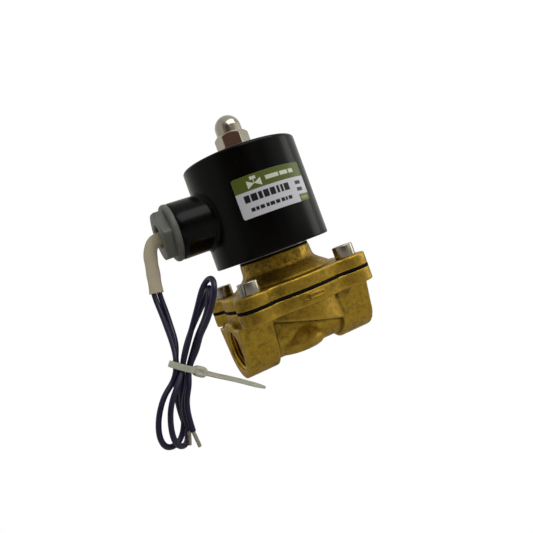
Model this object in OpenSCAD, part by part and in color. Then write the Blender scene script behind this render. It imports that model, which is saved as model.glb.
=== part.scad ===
// Two-way solenoid valve: forged brass body, screwed bonnet, clamped diaphragm, plunger and slip-on coil.
// The origin is the centre of the inlet mouth. +X points out of the inlet, +Z points up the coil.

/* [Body] */
// Face-to-face length over the two ports
body_l = 60; // [56:1:72]
// Outer radius of the rounded underside of each port
port_r = 11.9; // [11.4:0.1:14]
// Radius of the threaded wall in each port
thread_r = 8.33; // [7:0.01:8.6]
// Depth of the threaded wall in each port
thread_depth = 12; // [9:0.5:14]
// Half width of a port where it meets the flange
port_top_w = 15; // [13:0.5:16]
// Length of each port block along the body
block_l = 14.5; // [13:0.5:16]
// Radius of the flow passages behind the threads
passage_r = 6; // [4:0.5:6.5]
// Half width of the web between the ports
web_w = 9.8; // [9.4:0.1:11]

/* [Flange joint] */
// Radius of the round part of the flanges
flange_r = 28; // [27:0.5:32]
// Radius of the four corner ears
ear_r = 7.6; // [6:0.2:9]
// Hollow radius between an ear and the round part
ear_fillet = 6; // [3:0.5:8]
// Distance between screws along the ports
screw_dx = 43.4; // [42:0.2:48]
// Distance between screws across the ports
screw_dy = 39; // [38:0.2:44]
// Height of the underside of the body flange above the port axis
flange_z = 9.4; // [9:0.1:12]
// Thickness of the body flange
body_flange_t = 5.5; // [4:0.5:8]
// Thickness of the clamped diaphragm rim
diaphragm_t = 1; // [0.8:0.1:2]
// Thickness of the bonnet flange
bonnet_flange_t = 5; // [4:0.5:7]
// Nominal diameter of the flange screws
screw_d = 5; // [4:0.5:6]
// Length of the flange screws under the head
screw_l = 12; // [10:0.5:16]

/* [Seat and chamber] */
// Radius of the seat bore
seat_bore_r = 8; // [6:0.5:8.5]
// Wall of the seat ring
seat_wall = 2; // [1:0.2:3]
// Radius of the chamber under and over the diaphragm
chamber_r = 17; // [15:0.5:18]
// Height of the seat ring above the chamber floor
seat_h = 3; // [2:0.2:4]
// Lift of the diaphragm centre at full opening
centre_lift = 3.4; // [2:0.1:3.6]

/* [Bonnet] */
// Radius of the bonnet neck under the coil
neck_r = 15.5; // [14:0.1:18]
// Height of the bonnet above its flange, up to the coil seal
bonnet_h = 11; // [9:0.5:14]
// Radius of the foot of the cone on the bonnet flange
cone_foot_r = 22; // [20:0.5:24]

/* [Plunger and tube] */
// Inner radius of the armature tube
tube_r = 7; // [6:0.1:7.4]
// Wall of the armature tube
tube_wall = 0.6; // [0.4:0.1:1]
// Radial running clearance of the plunger
plunger_gap = 0.08; // [0.04:0.01:0.1]
// Travel of the plunger
plunger_travel = 4.4; // [3:0.1:5]
// Length of the plunger
plunger_l = 34; // [30:1:38]
// Outer radius of the return spring
spring_r = 3.3; // [2.5:0.1:4]
// Wire diameter of the two springs
spring_wire = 0.6; // [0.4:0.1:0.8]

/* [Coil] */
// Outer radius of the coil shell
shell_r = 25; // [24:0.5:28]
// Height of the coil shell
shell_h = 44; // [42:1:52]
// Wall of the coil shell
shell_wall = 1.6; // [1:0.1:2.5]
// Rounding of the top edge of the shell
shell_edge_r = 1.6; // [0.5:0.1:3]
// Outer radius of the copper winding
winding_r = 19; // [16:0.5:20]
// Radial gap between the coil bore and the armature tube
coil_gap = 0.08; // [0.04:0.01:0.3]

/* [Lead outlet] */
// Outer radius of the conduit hub
hub_r = 11.9; // [11:0.1:13]
// Reach of the hub end from the valve axis
hub_reach = 37; // [34:0.5:42]
// Height of the hub axis above the coil bottom
hub_h = 21.2; // [18:0.2:28]
// Thickness of the gland flange
gland_flange_t = 3; // [2:0.5:4]
// Thickness of the gland nut
gland_nut_t = 4; // [3:0.5:6]
// Width across flats of the gland nut
gland_nut_af = 19; // [17:0.5:20]
// Diameter of one lead over its insulation
lead_d = 2.1; // [1.6:0.1:2.1]
// Width of the woven sleeve over the two leads
sleeve_w = 5.4; // [5:0.1:6]
// Thickness of the woven sleeve
sleeve_t = 3.1; // [2.9:0.1:3.6]

/* [Label] */
// Lowest height of the label above the coil bottom
label_z = 15; // [8:0.5:20]
// Height of the label
label_h = 16.2; // [10:0.5:20]
// Angle of the label's left edge from the front
label_a0 = -35.5; // [-60:0.5:-20]
// Angle of the label's right edge from the front
label_a1 = 38; // [20:0.5:60]
// Thickness of the label
label_t = 0.15; // [0.1:0.05:0.3]

/* [Acorn nut] */
// Width across flats of the nut
nut_af = 13.2; // [13:0.1:15]
// Height of the hexagon
nut_hex_h = 6.5; // [5:0.5:8]
// Radius of the dome
nut_dome_r = 5.7; // [5:0.1:6.4]
// Overall height of the nut
nut_h = 14.9; // [13:0.1:17]
// Radius of the stud
stud_r = 3.95; // [3.5:0.05:4]

/* [Hidden] */
$fn = 96;
eps = 0.01;

// Heights up the valve axis, from the port axis.
body_top_z = flange_z + body_flange_t;
bonnet_z = body_top_z + diaphragm_t;
bonnet_flange_top_z = bonnet_z + bonnet_flange_t;
neck_top_z = bonnet_flange_top_z + bonnet_h;
seal_t = 0.5;
base_washer_t = 0.6;
coil_z = neck_top_z + seal_t + base_washer_t;
shell_top_z = coil_z + shell_h;
shell_roof = 2;
roof_z = shell_top_z - shell_roof;
hub_z = coil_z + hub_h;

// Seat, chamber and moving centre.
chamber_floor_z = flange_z - 0.4;
seat_top_z = chamber_floor_z + seat_h;
seat_r = seat_bore_r + seat_wall;
centre_rubber_t = 1.2;
support_t = 1;
support_r = seat_r + 1;
support_z = seat_top_z + centre_rubber_t;
insert_top_z = support_z + support_t + 2.8;
insert_stem_r = 3;
orifice_r = 0.8;
bonnet_chamber_h = centre_lift + 0.6;
bonnet_bore_r = tube_r + 0.4;

// Tube, core and plunger.
tube_out_r = tube_r + tube_wall;
tube_seat_z = bonnet_flange_top_z + 3.1;
o_ring_d = 1.6;
o_ring_squeeze = 0.1;
tube_z = tube_seat_z + o_ring_d - o_ring_squeeze;
tube_flange_t = 1.5;
tube_flange_r = tube_out_r + 2.6;
collar_r = tube_flange_r + 0.3;
plunger_r = tube_r - plunger_gap;
plunger_z = insert_top_z;
plunger_top_z = plunger_z + plunger_l;
core_z = plunger_top_z + plunger_travel + 0.05;
nose_h = 4;
nose_r = plunger_r - 2.4;
spring_bore_r = spring_r + 0.5;
spring_bore_depth = 8;
seal_disc_r = 3;
seal_disc_t = 2.6;

// Coil.
coil_bore_r = tube_out_r + coil_gap;
shell_in_r = shell_r - shell_wall;
flux_plate_t = 2;
bobbin_z = coil_z + flux_plate_t + 0.2;
bobbin_top_z = roof_z - 0.8;
bobbin_flange_t = 1.5;
bobbin_wall = 1;
winding_gap = 0.1;
tape_t = 0.6;

// Nut stack.
flat_washer_t = 1.4;
flat_washer_r = 8;
spring_washer_t = 1.8;
spring_washer_r = 7.2;
nut_z = shell_top_z + flat_washer_t + spring_washer_t;
stud_top_z = nut_z + nut_h - 3.4;

// Lead outlet, along -X at the hub height.
hub_bore_r = hub_r - 2.5;
gland_tail_l = 9;
gland_bore_r = 6.6;
gland_nut_bore_r = 4.7;
gland_out = hub_reach + gland_flange_t;
gland_end = gland_out + gland_nut_t;
sleeve_drop = 0.6;
lead_start = 28;

// Routes, in the valve's own axes with z from the port axis.
sleeve_route = [
    [-30, 0, 53.6], [-42, 0, 53.6], [-44.8, 0, 53.4], [-46.9, 0, 52.5], [-48.6, 0, 50.4],
    [-49.7, 0, 47.2], [-50.5, 0, 42.8], [-51.3, 0, 38.3], [-52.1, 0, 33.6]
];
lead_a_route = [
    [-28, 0, 54.7], [-42, 0, 54.7], [-45, 0, 54.5], [-47.5, 0, 53.5], [-49.5, 0, 51], [-50.8, 0, 47.5],
    [-52.4, 0, 38.5], [-53.2, 0, 33.5], [-53.4, -2, 27], [-53.8, -6.5, 20], [-54.5, -11.5, 13.5],
    [-56.2, -15.2, 7], [-59.2, -15.5, 2], [-63.2, -16.5, -1], [-66.8, -17.5, -5], [-69.1, -17.5, -9.5],
    [-70.1, -16.9, -15], [-68.2, -14.5, -19.2], [-64.5, -12.5, -19.6], [-61.1, -11.4, -16.1],
    [-57.7, -11.5, -4.7], [-55.7, -12, 0.3], [-53.9, -12.7, 5], [-46.4, -16.2, 17.2],
    [-39.9, -20.1, 24.9], [-37.9, -22.3, 27.8], [-37.6, -25.9, 29.2], [-38.7, -28.9, 28.2],
    [-40.4, -30.2, 25], [-43.6, -25.6, 18.6], [-46, -19.2, 14.1], [-49, -14.2, 8.5], [-52.5, -13, 2.8],
    [-54.7, -14.2, -1.4], [-57.3, -14.4, -5.6], [-59.4, -14, -13.4], [-59.6, -14, -17]
];
lead_b_route = [
    [-28, 0, 52.5], [-42, 0, 52.5], [-44.2, 0, 52.4], [-46.3, 0, 51.5], [-47.9, 0, 49.5],
    [-48.6, 0, 46.8], [-50.2, 0, 38.1], [-51, 0, 33.4], [-51.3, -1.5, 26.3], [-51.8, -4, 19.3],
    [-53, -8.1, 12.8], [-56, -12.5, 6.8], [-57.5, -11.4, 1.6], [-58.9, -9, -4], [-59.8, -7.6, -14.5],
    [-60.2, -9.1, -19.2], [-62.3, -12.4, -21.4], [-64.9, -16, -19.8], [-66, -18.9, -15.5],
    [-65.3, -20, -10.3], [-63.6, -19.8, -5.9], [-60.9, -19, -2.1], [-57.7, -17.6, 1.2],
    [-54.4, -15.2, 5.3], [-47.4, -20.6, 17.5], [-42, -21.8, 25.6], [-39.5, -24.3, 29.8],
    [-37.3, -27.7, 32.1], [-36.7, -31.2, 31.6], [-37.7, -33.5, 28.6], [-39.6, -33.1, 24.8],
    [-43.4, -28.6, 18.3], [-45.8, -22.8, 14.1], [-48.4, -17.4, 8.7], [-52.7, -15.5, 3],
    [-54.5, -16.6, -1.2], [-56.7, -16.9, -5.3], [-58.7, -16.5, -17.3]
];
lead_sides = 8;
sleeve_sides = 12;
tip_r = 0.7;
tip_a_end = [-61.2, -14, -22];
tip_b_end = [-58.2, -16.2, -23.4];

// Cable tie round the six strands.
tie_centre = [-54.3, -14.1, 5.05];
tie_tilt = 37;
tie_in_l = 7.8;
tie_in_w = 5.4;
tie_t = 0.9;
tie_w = 2.4;
tie_head = [5, 4.2, 3.9];
tie_tail_route = [[-48.6, -14.1, 0.8], [-44.9, -14.1, -2], [-40.2, -14.1, -5.3], [-35.6, -14.1, -8.6],
                  [-31.4, -14.1, -11.8], [-27.4, -14.1, -14.8]];
tail_t = 1;

// Places a piece that is drawn on the valve axis.
module at_valve() {
    translate([-body_l / 2, 0, 0]) children();
}

// A ring or tube standing on height z.
module ring(outer, inner, z, h) {
    translate([0, 0, z]) difference() {
        cylinder(r = outer, h = h);
        translate([0, 0, -eps]) cylinder(r = inner, h = h + 2 * eps);
    }
}

// Lays a piece drawn along +Z so that it points along -X from the valve axis at the hub height.
module along_hub(x) {
    translate([-x, 0, hub_z]) rotate([0, -90, 0]) children();
}

function unit(v) = v / norm(v);
function arc(c, r, a0, a1, n) = [for (i = [0:n]) c + r * [cos(a0 + (a1 - a0) * i / n), sin(a0 + (a1 - a0) * i / n)]];
function polar(r, a) = [r * cos(a), r * sin(a)];

// Flange outline: a disc with four ears, joined by hollow fillets.
screw_reach = norm([screw_dx, screw_dy]) / 2;
screw_angle = atan2(screw_dy, screw_dx);
disc_side = flange_r + ear_fillet;
ear_side = ear_r + ear_fillet;
fillet_a = acos((disc_side ^ 2 + screw_reach ^ 2 - ear_side ^ 2) / (2 * disc_side * screw_reach));
ear_a = acos((ear_side ^ 2 + screw_reach ^ 2 - disc_side ^ 2) / (2 * ear_side * screw_reach));
fillet_turn = 180 - fillet_a - ear_a;
arc_steps = 14;
function ear_points(a) = concat(
    arc(polar(disc_side, a - fillet_a), ear_fillet, a - fillet_a + 180, a - fillet_a + 180 - fillet_turn, arc_steps),
    arc(polar(screw_reach, a), ear_r, a - 180 + ear_a, a + 180 - ear_a, 2 * arc_steps),
    arc(polar(disc_side, a + fillet_a), ear_fillet, a + fillet_a + 180 + fillet_turn, a + fillet_a + 180, arc_steps)
);
function disc_points(a0, a1) = [for (i = [1:arc_steps - 1]) polar(flange_r, a0 + (a1 - a0) * i / arc_steps)];
ear_angles = [screw_angle, 180 - screw_angle, 180 + screw_angle, 360 - screw_angle];
flange_outline = [for (i = [0:3]) each concat(
    ear_points(ear_angles[i]),
    disc_points(ear_angles[i] + fillet_a, (i == 3 ? 360 + ear_angles[0] : ear_angles[i + 1]) - fillet_a)
)];

module flange_plate(z, t) {
    translate([0, 0, z]) linear_extrude(t) polygon(flange_outline);
}

// The four screw positions.
module at_screws() {
    for (sx = [-1, 1], sy = [-1, 1]) translate([sx * screw_dx / 2, sy * screw_dy / 2, 0]) children();
}

// A tube swept along points: rings of the given half widths, carried without twist.
function tangent(p, i) = unit(p[min(i + 1, len(p) - 1)] - p[max(i - 1, 0)]);
function carried(n, t) = unit(n - (n * t) * t);
function normals(p, n0, i = 0) =
    let (n = carried(n0, tangent(p, i))) i == len(p) - 1 ? [n] : concat([n], normals(p, n, i + 1));
module sweep(p, half_a, half_b, sides, n0) {
    n = normals(p, n0);
    points = [for (i = [0:len(p) - 1], j = [0:sides - 1])
        let (t = tangent(p, i), b = cross(t, n[i]), a = 360 * (j + 0.5) / sides)
        p[i] + half_a * cos(a) * n[i] + half_b * sin(a) * b];
    walls = [for (i = [0:len(p) - 2], j = [0:sides - 1])
        [i * sides + j, (i + 1) * sides + j, (i + 1) * sides + (j + 1) % sides, i * sides + (j + 1) % sides]];
    start = [for (j = [0:sides - 1]) j];
    end = [for (j = [0:sides - 1]) len(p) * sides - 1 - j];
    polyhedron(concat(points), concat(walls, [start], [end]), convexity = 10);
}

// A coil spring standing on height z, with closed ends.
module coil_spring(mean_r, wire, z, h, turns) {
    steps = 14;
    count = turns * steps;
    path = [for (i = [0:count]) [mean_r * cos(360 * i / steps), mean_r * sin(360 * i / steps),
        z + wire / 2 + (h - wire) * i / count]];
    sweep(path, wire / 2, wire / 2, 6, [1, 0, 0]);
}

// Section across a port: a round underside with sides that open out to the flange.
side_start = 7;
module port_section(r, top_w, top_z) {
    reach = norm([top_w, top_z]);
    low = atan2(top_z, top_w) - acos(r / reach) - side_start;
    circle(r = r);
    polygon([polar(r - 0.02, low), [top_w, top_z], [-top_w, top_z], polar(r - 0.02, 180 - low)]);
}

// Draws a section in the YZ plane and extrudes it from x0 to x1.
module across(x0, x1) {
    translate([x0, 0, 0]) rotate([90, 0, 90]) linear_extrude(x1 - x0) children();
}

// Brass body: two port blocks, a web with a round belly, a slanting bowl and the flange.
bowl_r = chamber_r + 3;
bowl_slope = 17.3;
belly_x = -2.5;
belly = [[0, -10.1], [6, -10.1], [9.6, -9.4], [11.5, -7.7], [12, -6], [11.4, -4], [9.4, 0.8], [8, 4], [0, 4]];
module body_outside() {
    flange_plate(flange_z, body_flange_t);
    across(-body_l / 2, -body_l / 2 + block_l) port_section(port_r, port_top_w, flange_z + eps);
    across(body_l / 2 - block_l, body_l / 2) port_section(port_r, port_top_w, flange_z + eps);
    across(-body_l / 2 + block_l - eps, body_l / 2 - block_l + eps) port_section(web_w, web_w + 1, flange_z + eps);
    translate([belly_x, 0, 0]) rotate_extrude() polygon(belly);
    difference() {
        translate([0, 0, -6]) cylinder(r = bowl_r, h = flange_z + 6 + eps);
        translate([0, 0, 2]) rotate([0, bowl_slope, 0]) translate([-50, -50, -40]) cube([100, 100, 40]);
        translate([body_l / 2 - block_l, -bowl_r, -20]) cube([20, 2 * bowl_r, 20 + 6]);
    }
    flow_arrow();
}

// Raised arrow on the front of the flange, pointing to the outlet.
arrow = [[-6, 0], [-2.8, 1.6], [-2.8, 1], [3.6, 1], [3.6, -0.9], [-2.8, -0.9], [-2.8, -1.6]];
arrow_proud = 0.35;
module flow_arrow() {
    intersection() {
        ring(flange_r + arrow_proud, flange_r - 1, flange_z, body_flange_t);
        translate([0, 0, flange_z + body_flange_t / 2 + 0.2]) rotate([90, 0, 0]) linear_extrude(flange_r + 2) polygon(arrow);
    }
}

// Flow ways: inlet on +X up to the ring chamber, seat bore down to the outlet on -X.
riser_w = 9;
module body_inside() {
    for (s = [0, 180]) rotate([0, 0, s]) translate([body_l / 2 - thread_depth, 0, 0])
        rotate([0, 90, 0]) cylinder(r = thread_r, h = thread_depth + 1);
    inner_end = seat_r + 1.5;
    translate([inner_end, 0, 0]) rotate([0, 90, 0]) cylinder(r = passage_r, h = body_l / 2 - thread_depth - inner_end + eps);
    translate([-body_l / 2 + thread_depth - eps, 0, 0]) rotate([0, 90, 0])
        cylinder(r = passage_r, h = body_l / 2 - thread_depth);
    translate([inner_end, -riser_w / 2, 0]) cube([chamber_r - inner_end - 0.6, riser_w, chamber_floor_z + eps]);
    translate([0, 0, -4]) cylinder(r = seat_bore_r, h = seat_top_z + 5);
    difference() {
        translate([0, 0, chamber_floor_z]) cylinder(r = chamber_r, h = body_top_z);
        translate([0, 0, chamber_floor_z - 1]) cylinder(r = seat_r, h = seat_h + 1);
    }
    at_screws() translate([0, 0, flange_z - 1]) cylinder(r = screw_d / 2, h = body_flange_t + 2);
}
module valve_body() {
    color("#9a8038") at_valve() difference() {
        body_outside();
        body_inside();
    }
}

// Brass bonnet: flange, cone and neck, bored for the plunger and the armature tube.
cone = [[0, 0], [cone_foot_r, 0], [cone_foot_r - 0.2, 0.7], [neck_r + 2.4, 3.6], [neck_r + 0.8, 5],
        [neck_r + 0.3, 6.4], [neck_r, bonnet_h], [0, bonnet_h]];
module bonnet() {
    color("#94793a") at_valve() difference() {
        union() {
            flange_plate(bonnet_z, bonnet_flange_t);
            translate([0, 0, bonnet_flange_top_z - eps]) rotate_extrude() polygon(cone);
        }
        translate([0, 0, bonnet_z - 1]) cylinder(r = chamber_r, h = bonnet_chamber_h + 1);
        cylinder(r = bonnet_bore_r, h = neck_top_z + 1);
        translate([0, 0, tube_seat_z]) cylinder(r = collar_r, h = neck_top_z);
        at_screws() translate([0, 0, bonnet_z - 1]) cylinder(r = screw_d / 2 + 0.25, h = bonnet_flange_t + 2);
    }
}

// Four socket head screws as one group.
head_r = screw_d * 0.85;
head_h = screw_d;
socket_af = 4;
head_profile = [[0, 0], [head_r, 0], [head_r, head_h - 0.5], [head_r - 0.5, head_h], [0, head_h]];
module bonnet_screws() {
    color("#b9b7b0") at_valve() at_screws() translate([0, 0, bonnet_flange_top_z]) difference() {
        union() {
            rotate_extrude($fn = 48) polygon(head_profile);
            translate([0, 0, -screw_l]) cylinder(r = screw_d / 2 - 0.05, h = screw_l + eps);
        }
        translate([0, 0, head_h * 0.5]) cylinder(r = socket_af / 2 / cos(30), h = head_h, $fn = 6);
    }
}

// Rubber diaphragm: clamped rim, rolled wall and the centre that closes the seat.
roll_out_r = chamber_r - 0.6;
roll_in_r = support_r + 0.6;
module diaphragm() {
    color("#171717") at_valve() difference() {
        union() {
            difference() {
                flange_plate(body_top_z, diaphragm_t);
                translate([0, 0, body_top_z - 1]) cylinder(r = roll_out_r - 0.5, h = diaphragm_t + 2);
            }
            rotate_extrude() polygon([
                [insert_stem_r, seat_top_z], [roll_in_r, seat_top_z], [roll_out_r, body_top_z],
                [roll_out_r, bonnet_z], [roll_out_r - 1.2, bonnet_z], [roll_in_r - 0.3, support_z],
                [insert_stem_r, support_z]]);
        }
        at_screws() translate([0, 0, body_top_z - 1]) cylinder(r = screw_d / 2 + 0.1, h = diaphragm_t + 2);
    }
}

// Brass insert through the middle of the diaphragm, with the pilot orifice and its nozzle.
insert_flange_r = seat_bore_r - 1.8;
insert_flange_t = 1.4;
module pilot_insert() {
    color("#b08d3c") at_valve() rotate_extrude() polygon([
        [orifice_r, seat_top_z - insert_flange_t], [insert_flange_r, seat_top_z - insert_flange_t],
        [insert_flange_r, seat_top_z], [insert_stem_r, seat_top_z], [insert_stem_r, support_z + support_t],
        [insert_stem_r + 0.8, support_z + support_t], [insert_stem_r + 0.8, support_z + support_t + 0.6],
        [insert_stem_r - 0.6, support_z + support_t + 0.8], [orifice_r + 0.6, insert_top_z],
        [orifice_r, insert_top_z]]);
}

module support_washer() {
    color("#c2c2be") at_valve() ring(support_r, insert_stem_r, support_z, support_t);
}

// Spring that hangs the diaphragm centre from the plunger shoulder.
lift_spring_z = support_z + support_t + 0.02;
module lift_spring() {
    color("#b8b8b4") at_valve()
        coil_spring(nose_r + 0.7, spring_wire, lift_spring_z, plunger_z + nose_h - lift_spring_z - 0.02, 4);
}

// Steel plunger, bored at the top for its spring and at the nose for its seal.
module plunger() {
    color("#a9abad") at_valve() difference() {
        rotate_extrude() polygon([
            [0, plunger_z], [nose_r - 0.4, plunger_z], [nose_r, plunger_z + 0.4], [nose_r, plunger_z + nose_h],
            [plunger_r - 0.3, plunger_z + nose_h], [plunger_r, plunger_z + nose_h + 0.3],
            [plunger_r, plunger_top_z - 0.4], [plunger_r - 0.4, plunger_top_z], [0, plunger_top_z]]);
        translate([0, 0, plunger_top_z - spring_bore_depth]) cylinder(r = spring_bore_r, h = spring_bore_depth + 1);
        translate([0, 0, plunger_z - 1]) cylinder(r = seal_disc_r, h = seal_disc_t + 1);
    }
}

module plunger_seal() {
    color("#232323") at_valve() translate([0, 0, plunger_z]) cylinder(r = seal_disc_r, h = seal_disc_t);
}

// Spring between the plunger and the fixed core, which closes the valve.
return_spring_z = plunger_top_z - spring_bore_depth + 0.02;
module return_spring() {
    color("#b8b8b4") at_valve()
        coil_spring(spring_r - spring_wire / 2, spring_wire, return_spring_z, core_z - return_spring_z - 0.02, 8);
}

// Thin stainless tube that the plunger slides in, with a flange at its foot.
module armature_tube() {
    color("#bfc1c2") at_valve() {
        difference() {
            union() {
                translate([0, 0, tube_z]) cylinder(r = tube_out_r, h = roof_z - tube_z);
                translate([0, 0, tube_z]) cylinder(r = tube_flange_r, h = tube_flange_t);
            }
            translate([0, 0, tube_z - 1]) cylinder(r = tube_r, h = roof_z - tube_z + 2);
        }
    }
}

// Fixed core closing the top of the tube, with the stud for the nut.
module fixed_core() {
    color("#aeb0b0") at_valve() {
        translate([0, 0, core_z]) cylinder(r = tube_r, h = roof_z - core_z);
        translate([0, 0, roof_z - eps]) cylinder(r = stud_r, h = stud_top_z - roof_z);
    }
}

// Threaded collar that holds the tube down in the bonnet.
module tube_collar() {
    color("#9c9a90") at_valve()
        ring(collar_r, tube_out_r + 0.05, tube_z + tube_flange_t, neck_top_z - tube_z - tube_flange_t - 0.4);
}

module tube_o_ring() {
    color("#1c1c1c") at_valve() translate([0, 0, tube_seat_z + o_ring_d / 2])
        rotate_extrude() translate([tube_out_r + 1.2, 0]) circle(r = o_ring_d / 2, $fn = 32);
}

module coil_seal() {
    color("#101010") at_valve() ring(neck_r - 0.1, neck_r - 4, neck_top_z, seal_t);
}

module base_washer() {
    color("#8f8f8a") at_valve() ring(neck_r - 0.4, tube_out_r + 0.1, neck_top_z + seal_t, base_washer_t);
}

// Nut stack on the stud.
module flat_washer() {
    color("#c9c9c6") at_valve() ring(flat_washer_r, stud_r + 0.25, shell_top_z, flat_washer_t);
}

module spring_washer() {
    color("#bdbdb9") at_valve() difference() {
        ring(spring_washer_r, stud_r + 0.15, shell_top_z + flat_washer_t, spring_washer_t);
        translate([0, -0.6, shell_top_z]) cube([10, 1.2, 10]);
    }
}

module acorn_nut() {
    hex_r = nut_af / 2 / cos(30);
    dome_z = nut_h - nut_dome_r;
    color("#d0cfc9") at_valve() translate([0, 0, nut_z]) difference() {
        union() {
            intersection() {
                rotate([0, 0, 39]) cylinder(r = hex_r, h = nut_hex_h, $fn = 6);
                rotate_extrude() polygon([[0, 0], [hex_r - 0.5, 0], [hex_r + 0.1, 0.4], [hex_r + 0.1, nut_hex_h - 1.1],
                    [nut_dome_r + 0.1, nut_hex_h], [0, nut_hex_h]]);
            }
            translate([0, 0, nut_hex_h - eps]) cylinder(r = nut_dome_r, h = dome_z - nut_hex_h + eps);
            translate([0, 0, dome_z]) sphere(r = nut_dome_r);
        }
        translate([0, 0, -1]) cylinder(r = stud_r + 0.05, h = nut_h - 1.8);
    }
}

// Painted steel can of the coil: wall and roof, open below, with a side hole for the leads.
module coil_shell() {
    color("#161616") at_valve() difference() {
        rotate_extrude() polygon(concat(
            [[stud_r + 0.3, roof_z], [shell_in_r, roof_z], [shell_in_r, coil_z], [shell_r - 0.4, coil_z], [shell_r, coil_z + 0.4]],
            arc([shell_r - shell_edge_r, shell_top_z - shell_edge_r], shell_edge_r, 0, 90, 8),
            [[stud_r + 0.3, shell_top_z]]));
        along_hub(shell_in_r - 3) cylinder(r = gland_nut_bore_r, h = 10);
    }
}

module flux_plate() {
    color("#6f6f6c") at_valve() ring(shell_in_r - 0.05, coil_bore_r, coil_z, flux_plate_t);
}

// Moulded bobbin between the flux plate and the roof.
module coil_bobbin() {
    spool_r = coil_bore_r + bobbin_wall;
    color("#d9d2bd") at_valve() {
        ring(spool_r, coil_bore_r + 0.05, bobbin_z, bobbin_top_z - bobbin_z);
        ring(winding_r + 2.4, spool_r - eps, bobbin_z, bobbin_flange_t);
        ring(winding_r + 2.4, spool_r - eps, bobbin_top_z - bobbin_flange_t, bobbin_flange_t);
    }
}

winding_z = bobbin_z + bobbin_flange_t + winding_gap;
winding_h = bobbin_top_z - bobbin_z - 2 * bobbin_flange_t - 2 * winding_gap;
module coil_winding() {
    color("#a5562a") at_valve() ring(winding_r, coil_bore_r + bobbin_wall + winding_gap, winding_z, winding_h);
}

module winding_tape() {
    color("#c9b458") at_valve() ring(winding_r + tape_t, winding_r + eps, winding_z, winding_h);
}

module coil_potting() {
    color("#2a2622") at_valve() ring(shell_in_r - 0.1, winding_r + tape_t + 0.05, winding_z, winding_h);
}

// Black outlet hub, saddled to the shell.
module conduit_hub() {
    color("#191919") at_valve() difference() {
        along_hub(0) cylinder(r = hub_r, h = hub_reach);
        along_hub(-1) cylinder(r = hub_bore_r, h = hub_reach + 2);
        translate([0, 0, coil_z - 1]) cylinder(r = shell_r, h = shell_h + 2);
        translate([0, -50, coil_z - 50]) cube([100, 100, 200]);
    }
}

// Grey gland: flanged body in the hub, and the nut that grips the grommet.
flange_round = 1.2;
module gland_body() {
    color("#676a62") at_valve() along_hub(hub_reach) rotate_extrude() polygon(concat(
        [[gland_bore_r, -gland_tail_l], [hub_bore_r - 0.05, -gland_tail_l], [hub_bore_r - 0.05, 0], [hub_r + 0.1, 0]],
        arc([hub_r + 0.1 - flange_round, gland_flange_t - flange_round], flange_round, 0, 90, 6),
        [[gland_bore_r, gland_flange_t]]));
}

module gland_nut() {
    color("#62655d") at_valve() difference() {
        union() {
            along_hub(gland_out) rotate([0, 0, 30]) cylinder(r = gland_nut_af / 2 / cos(30), h = gland_nut_t, $fn = 6);
            along_hub(gland_out - 4) cylinder(r = gland_bore_r - 0.05, h = 4 + eps);
        }
        along_hub(gland_out - 5) cylinder(r = gland_nut_bore_r, h = gland_nut_t + 6);
    }
}

module gland_grommet() {
    color("#202020") at_valve() difference() {
        along_hub(gland_out - 9) cylinder(r = gland_bore_r - 0.05, h = 5);
        translate([-gland_out - 1, 0, hub_z - sleeve_drop]) rotate([0, 90, 0]) cylinder(r = sleeve_w / 2 + 0.05, h = 12);
    }
}

// Woven sleeve over the two leads, from the grommet down to its cut end.
module lead_sleeve() {
    color("#ad9f7d") at_valve() difference() {
        sweep(sleeve_route, sleeve_w / 2, sleeve_t / 2, sleeve_sides, [0, 0, 1]);
        sweep(concat([sleeve_route[0] + [1, 0, 0]], sleeve_route, [sleeve_route[len(sleeve_route) - 1] + [-0.1, 0, -1]]),
            sleeve_w / 2 - 0.2, sleeve_t / 2 - 0.25, sleeve_sides, [0, 0, 1]);
    }
}

// Two insulated leads, looped up and down through the tie.
module lead_a() {
    color("#1e1a33") at_valve() sweep(lead_a_route, lead_d / 2, lead_d / 2, lead_sides, [0, 0, 1]);
}

module lead_b() {
    color("#1e1a33") at_valve() sweep(lead_b_route, lead_d / 2, lead_d / 2, lead_sides, [0, 0, 1]);
}

// Tinned conductor beyond each stripped end.
module tip(from, to) {
    sweep([from, (from + to) / 2, to], tip_r, tip_r, lead_sides, [1, 0, 0]);
}

module lead_a_tip() {
    color("#a9a598") at_valve() tip(lead_a_route[len(lead_a_route) - 1], tip_a_end);
}

module lead_b_tip() {
    color("#a9a598") at_valve() tip(lead_b_route[len(lead_b_route) - 1], tip_b_end);
}

// Insulated joints between the leads and the winding ends, inside the outlet.
module splice_sleeves() {
    color("#b9b6a4") at_valve() for (start = [lead_a_route[0], lead_b_route[0]])
        translate([start[0], start[1], start[2]]) rotate([0, 90, 0]) cylinder(r = lead_d / 2, h = lead_start - shell_in_r - eps);
}

// Nylon tie: band round the strands, ratchet head and tail.
module cable_tie() {
    color("#c4c4b8") at_valve() {
        translate(tie_centre) rotate([0, tie_tilt, 0]) {
            difference() {
                stadium(tie_in_l + 2 * tie_t, tie_in_w + 2 * tie_t, tie_w);
                stadium(tie_in_l, tie_in_w, tie_w + 1);
            }
            translate([tie_in_l / 2 + 0.4, -tie_head[1] / 2, -tie_head[2] / 2]) cube(tie_head);
        }
        sweep(tie_tail_route, tail_t / 2 * 1.25, tie_w / 2 * 1.15, 4, [0, -0.5, 0.87]);
    }
}

// A flat block with rounded corners, centred on its own height.
module stadium(l, w, h) {
    r = w / 2 - 0.4;
    translate([0, 0, -h / 2]) {
        for (s = [-1, 1]) translate([s * (l / 2 - r), 0, 0]) cylinder(r = w / 2, h = h);
        translate([-(l / 2 - r), -w / 2, 0]) cube([l - 2 * r, w, h]);
    }
}

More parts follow.
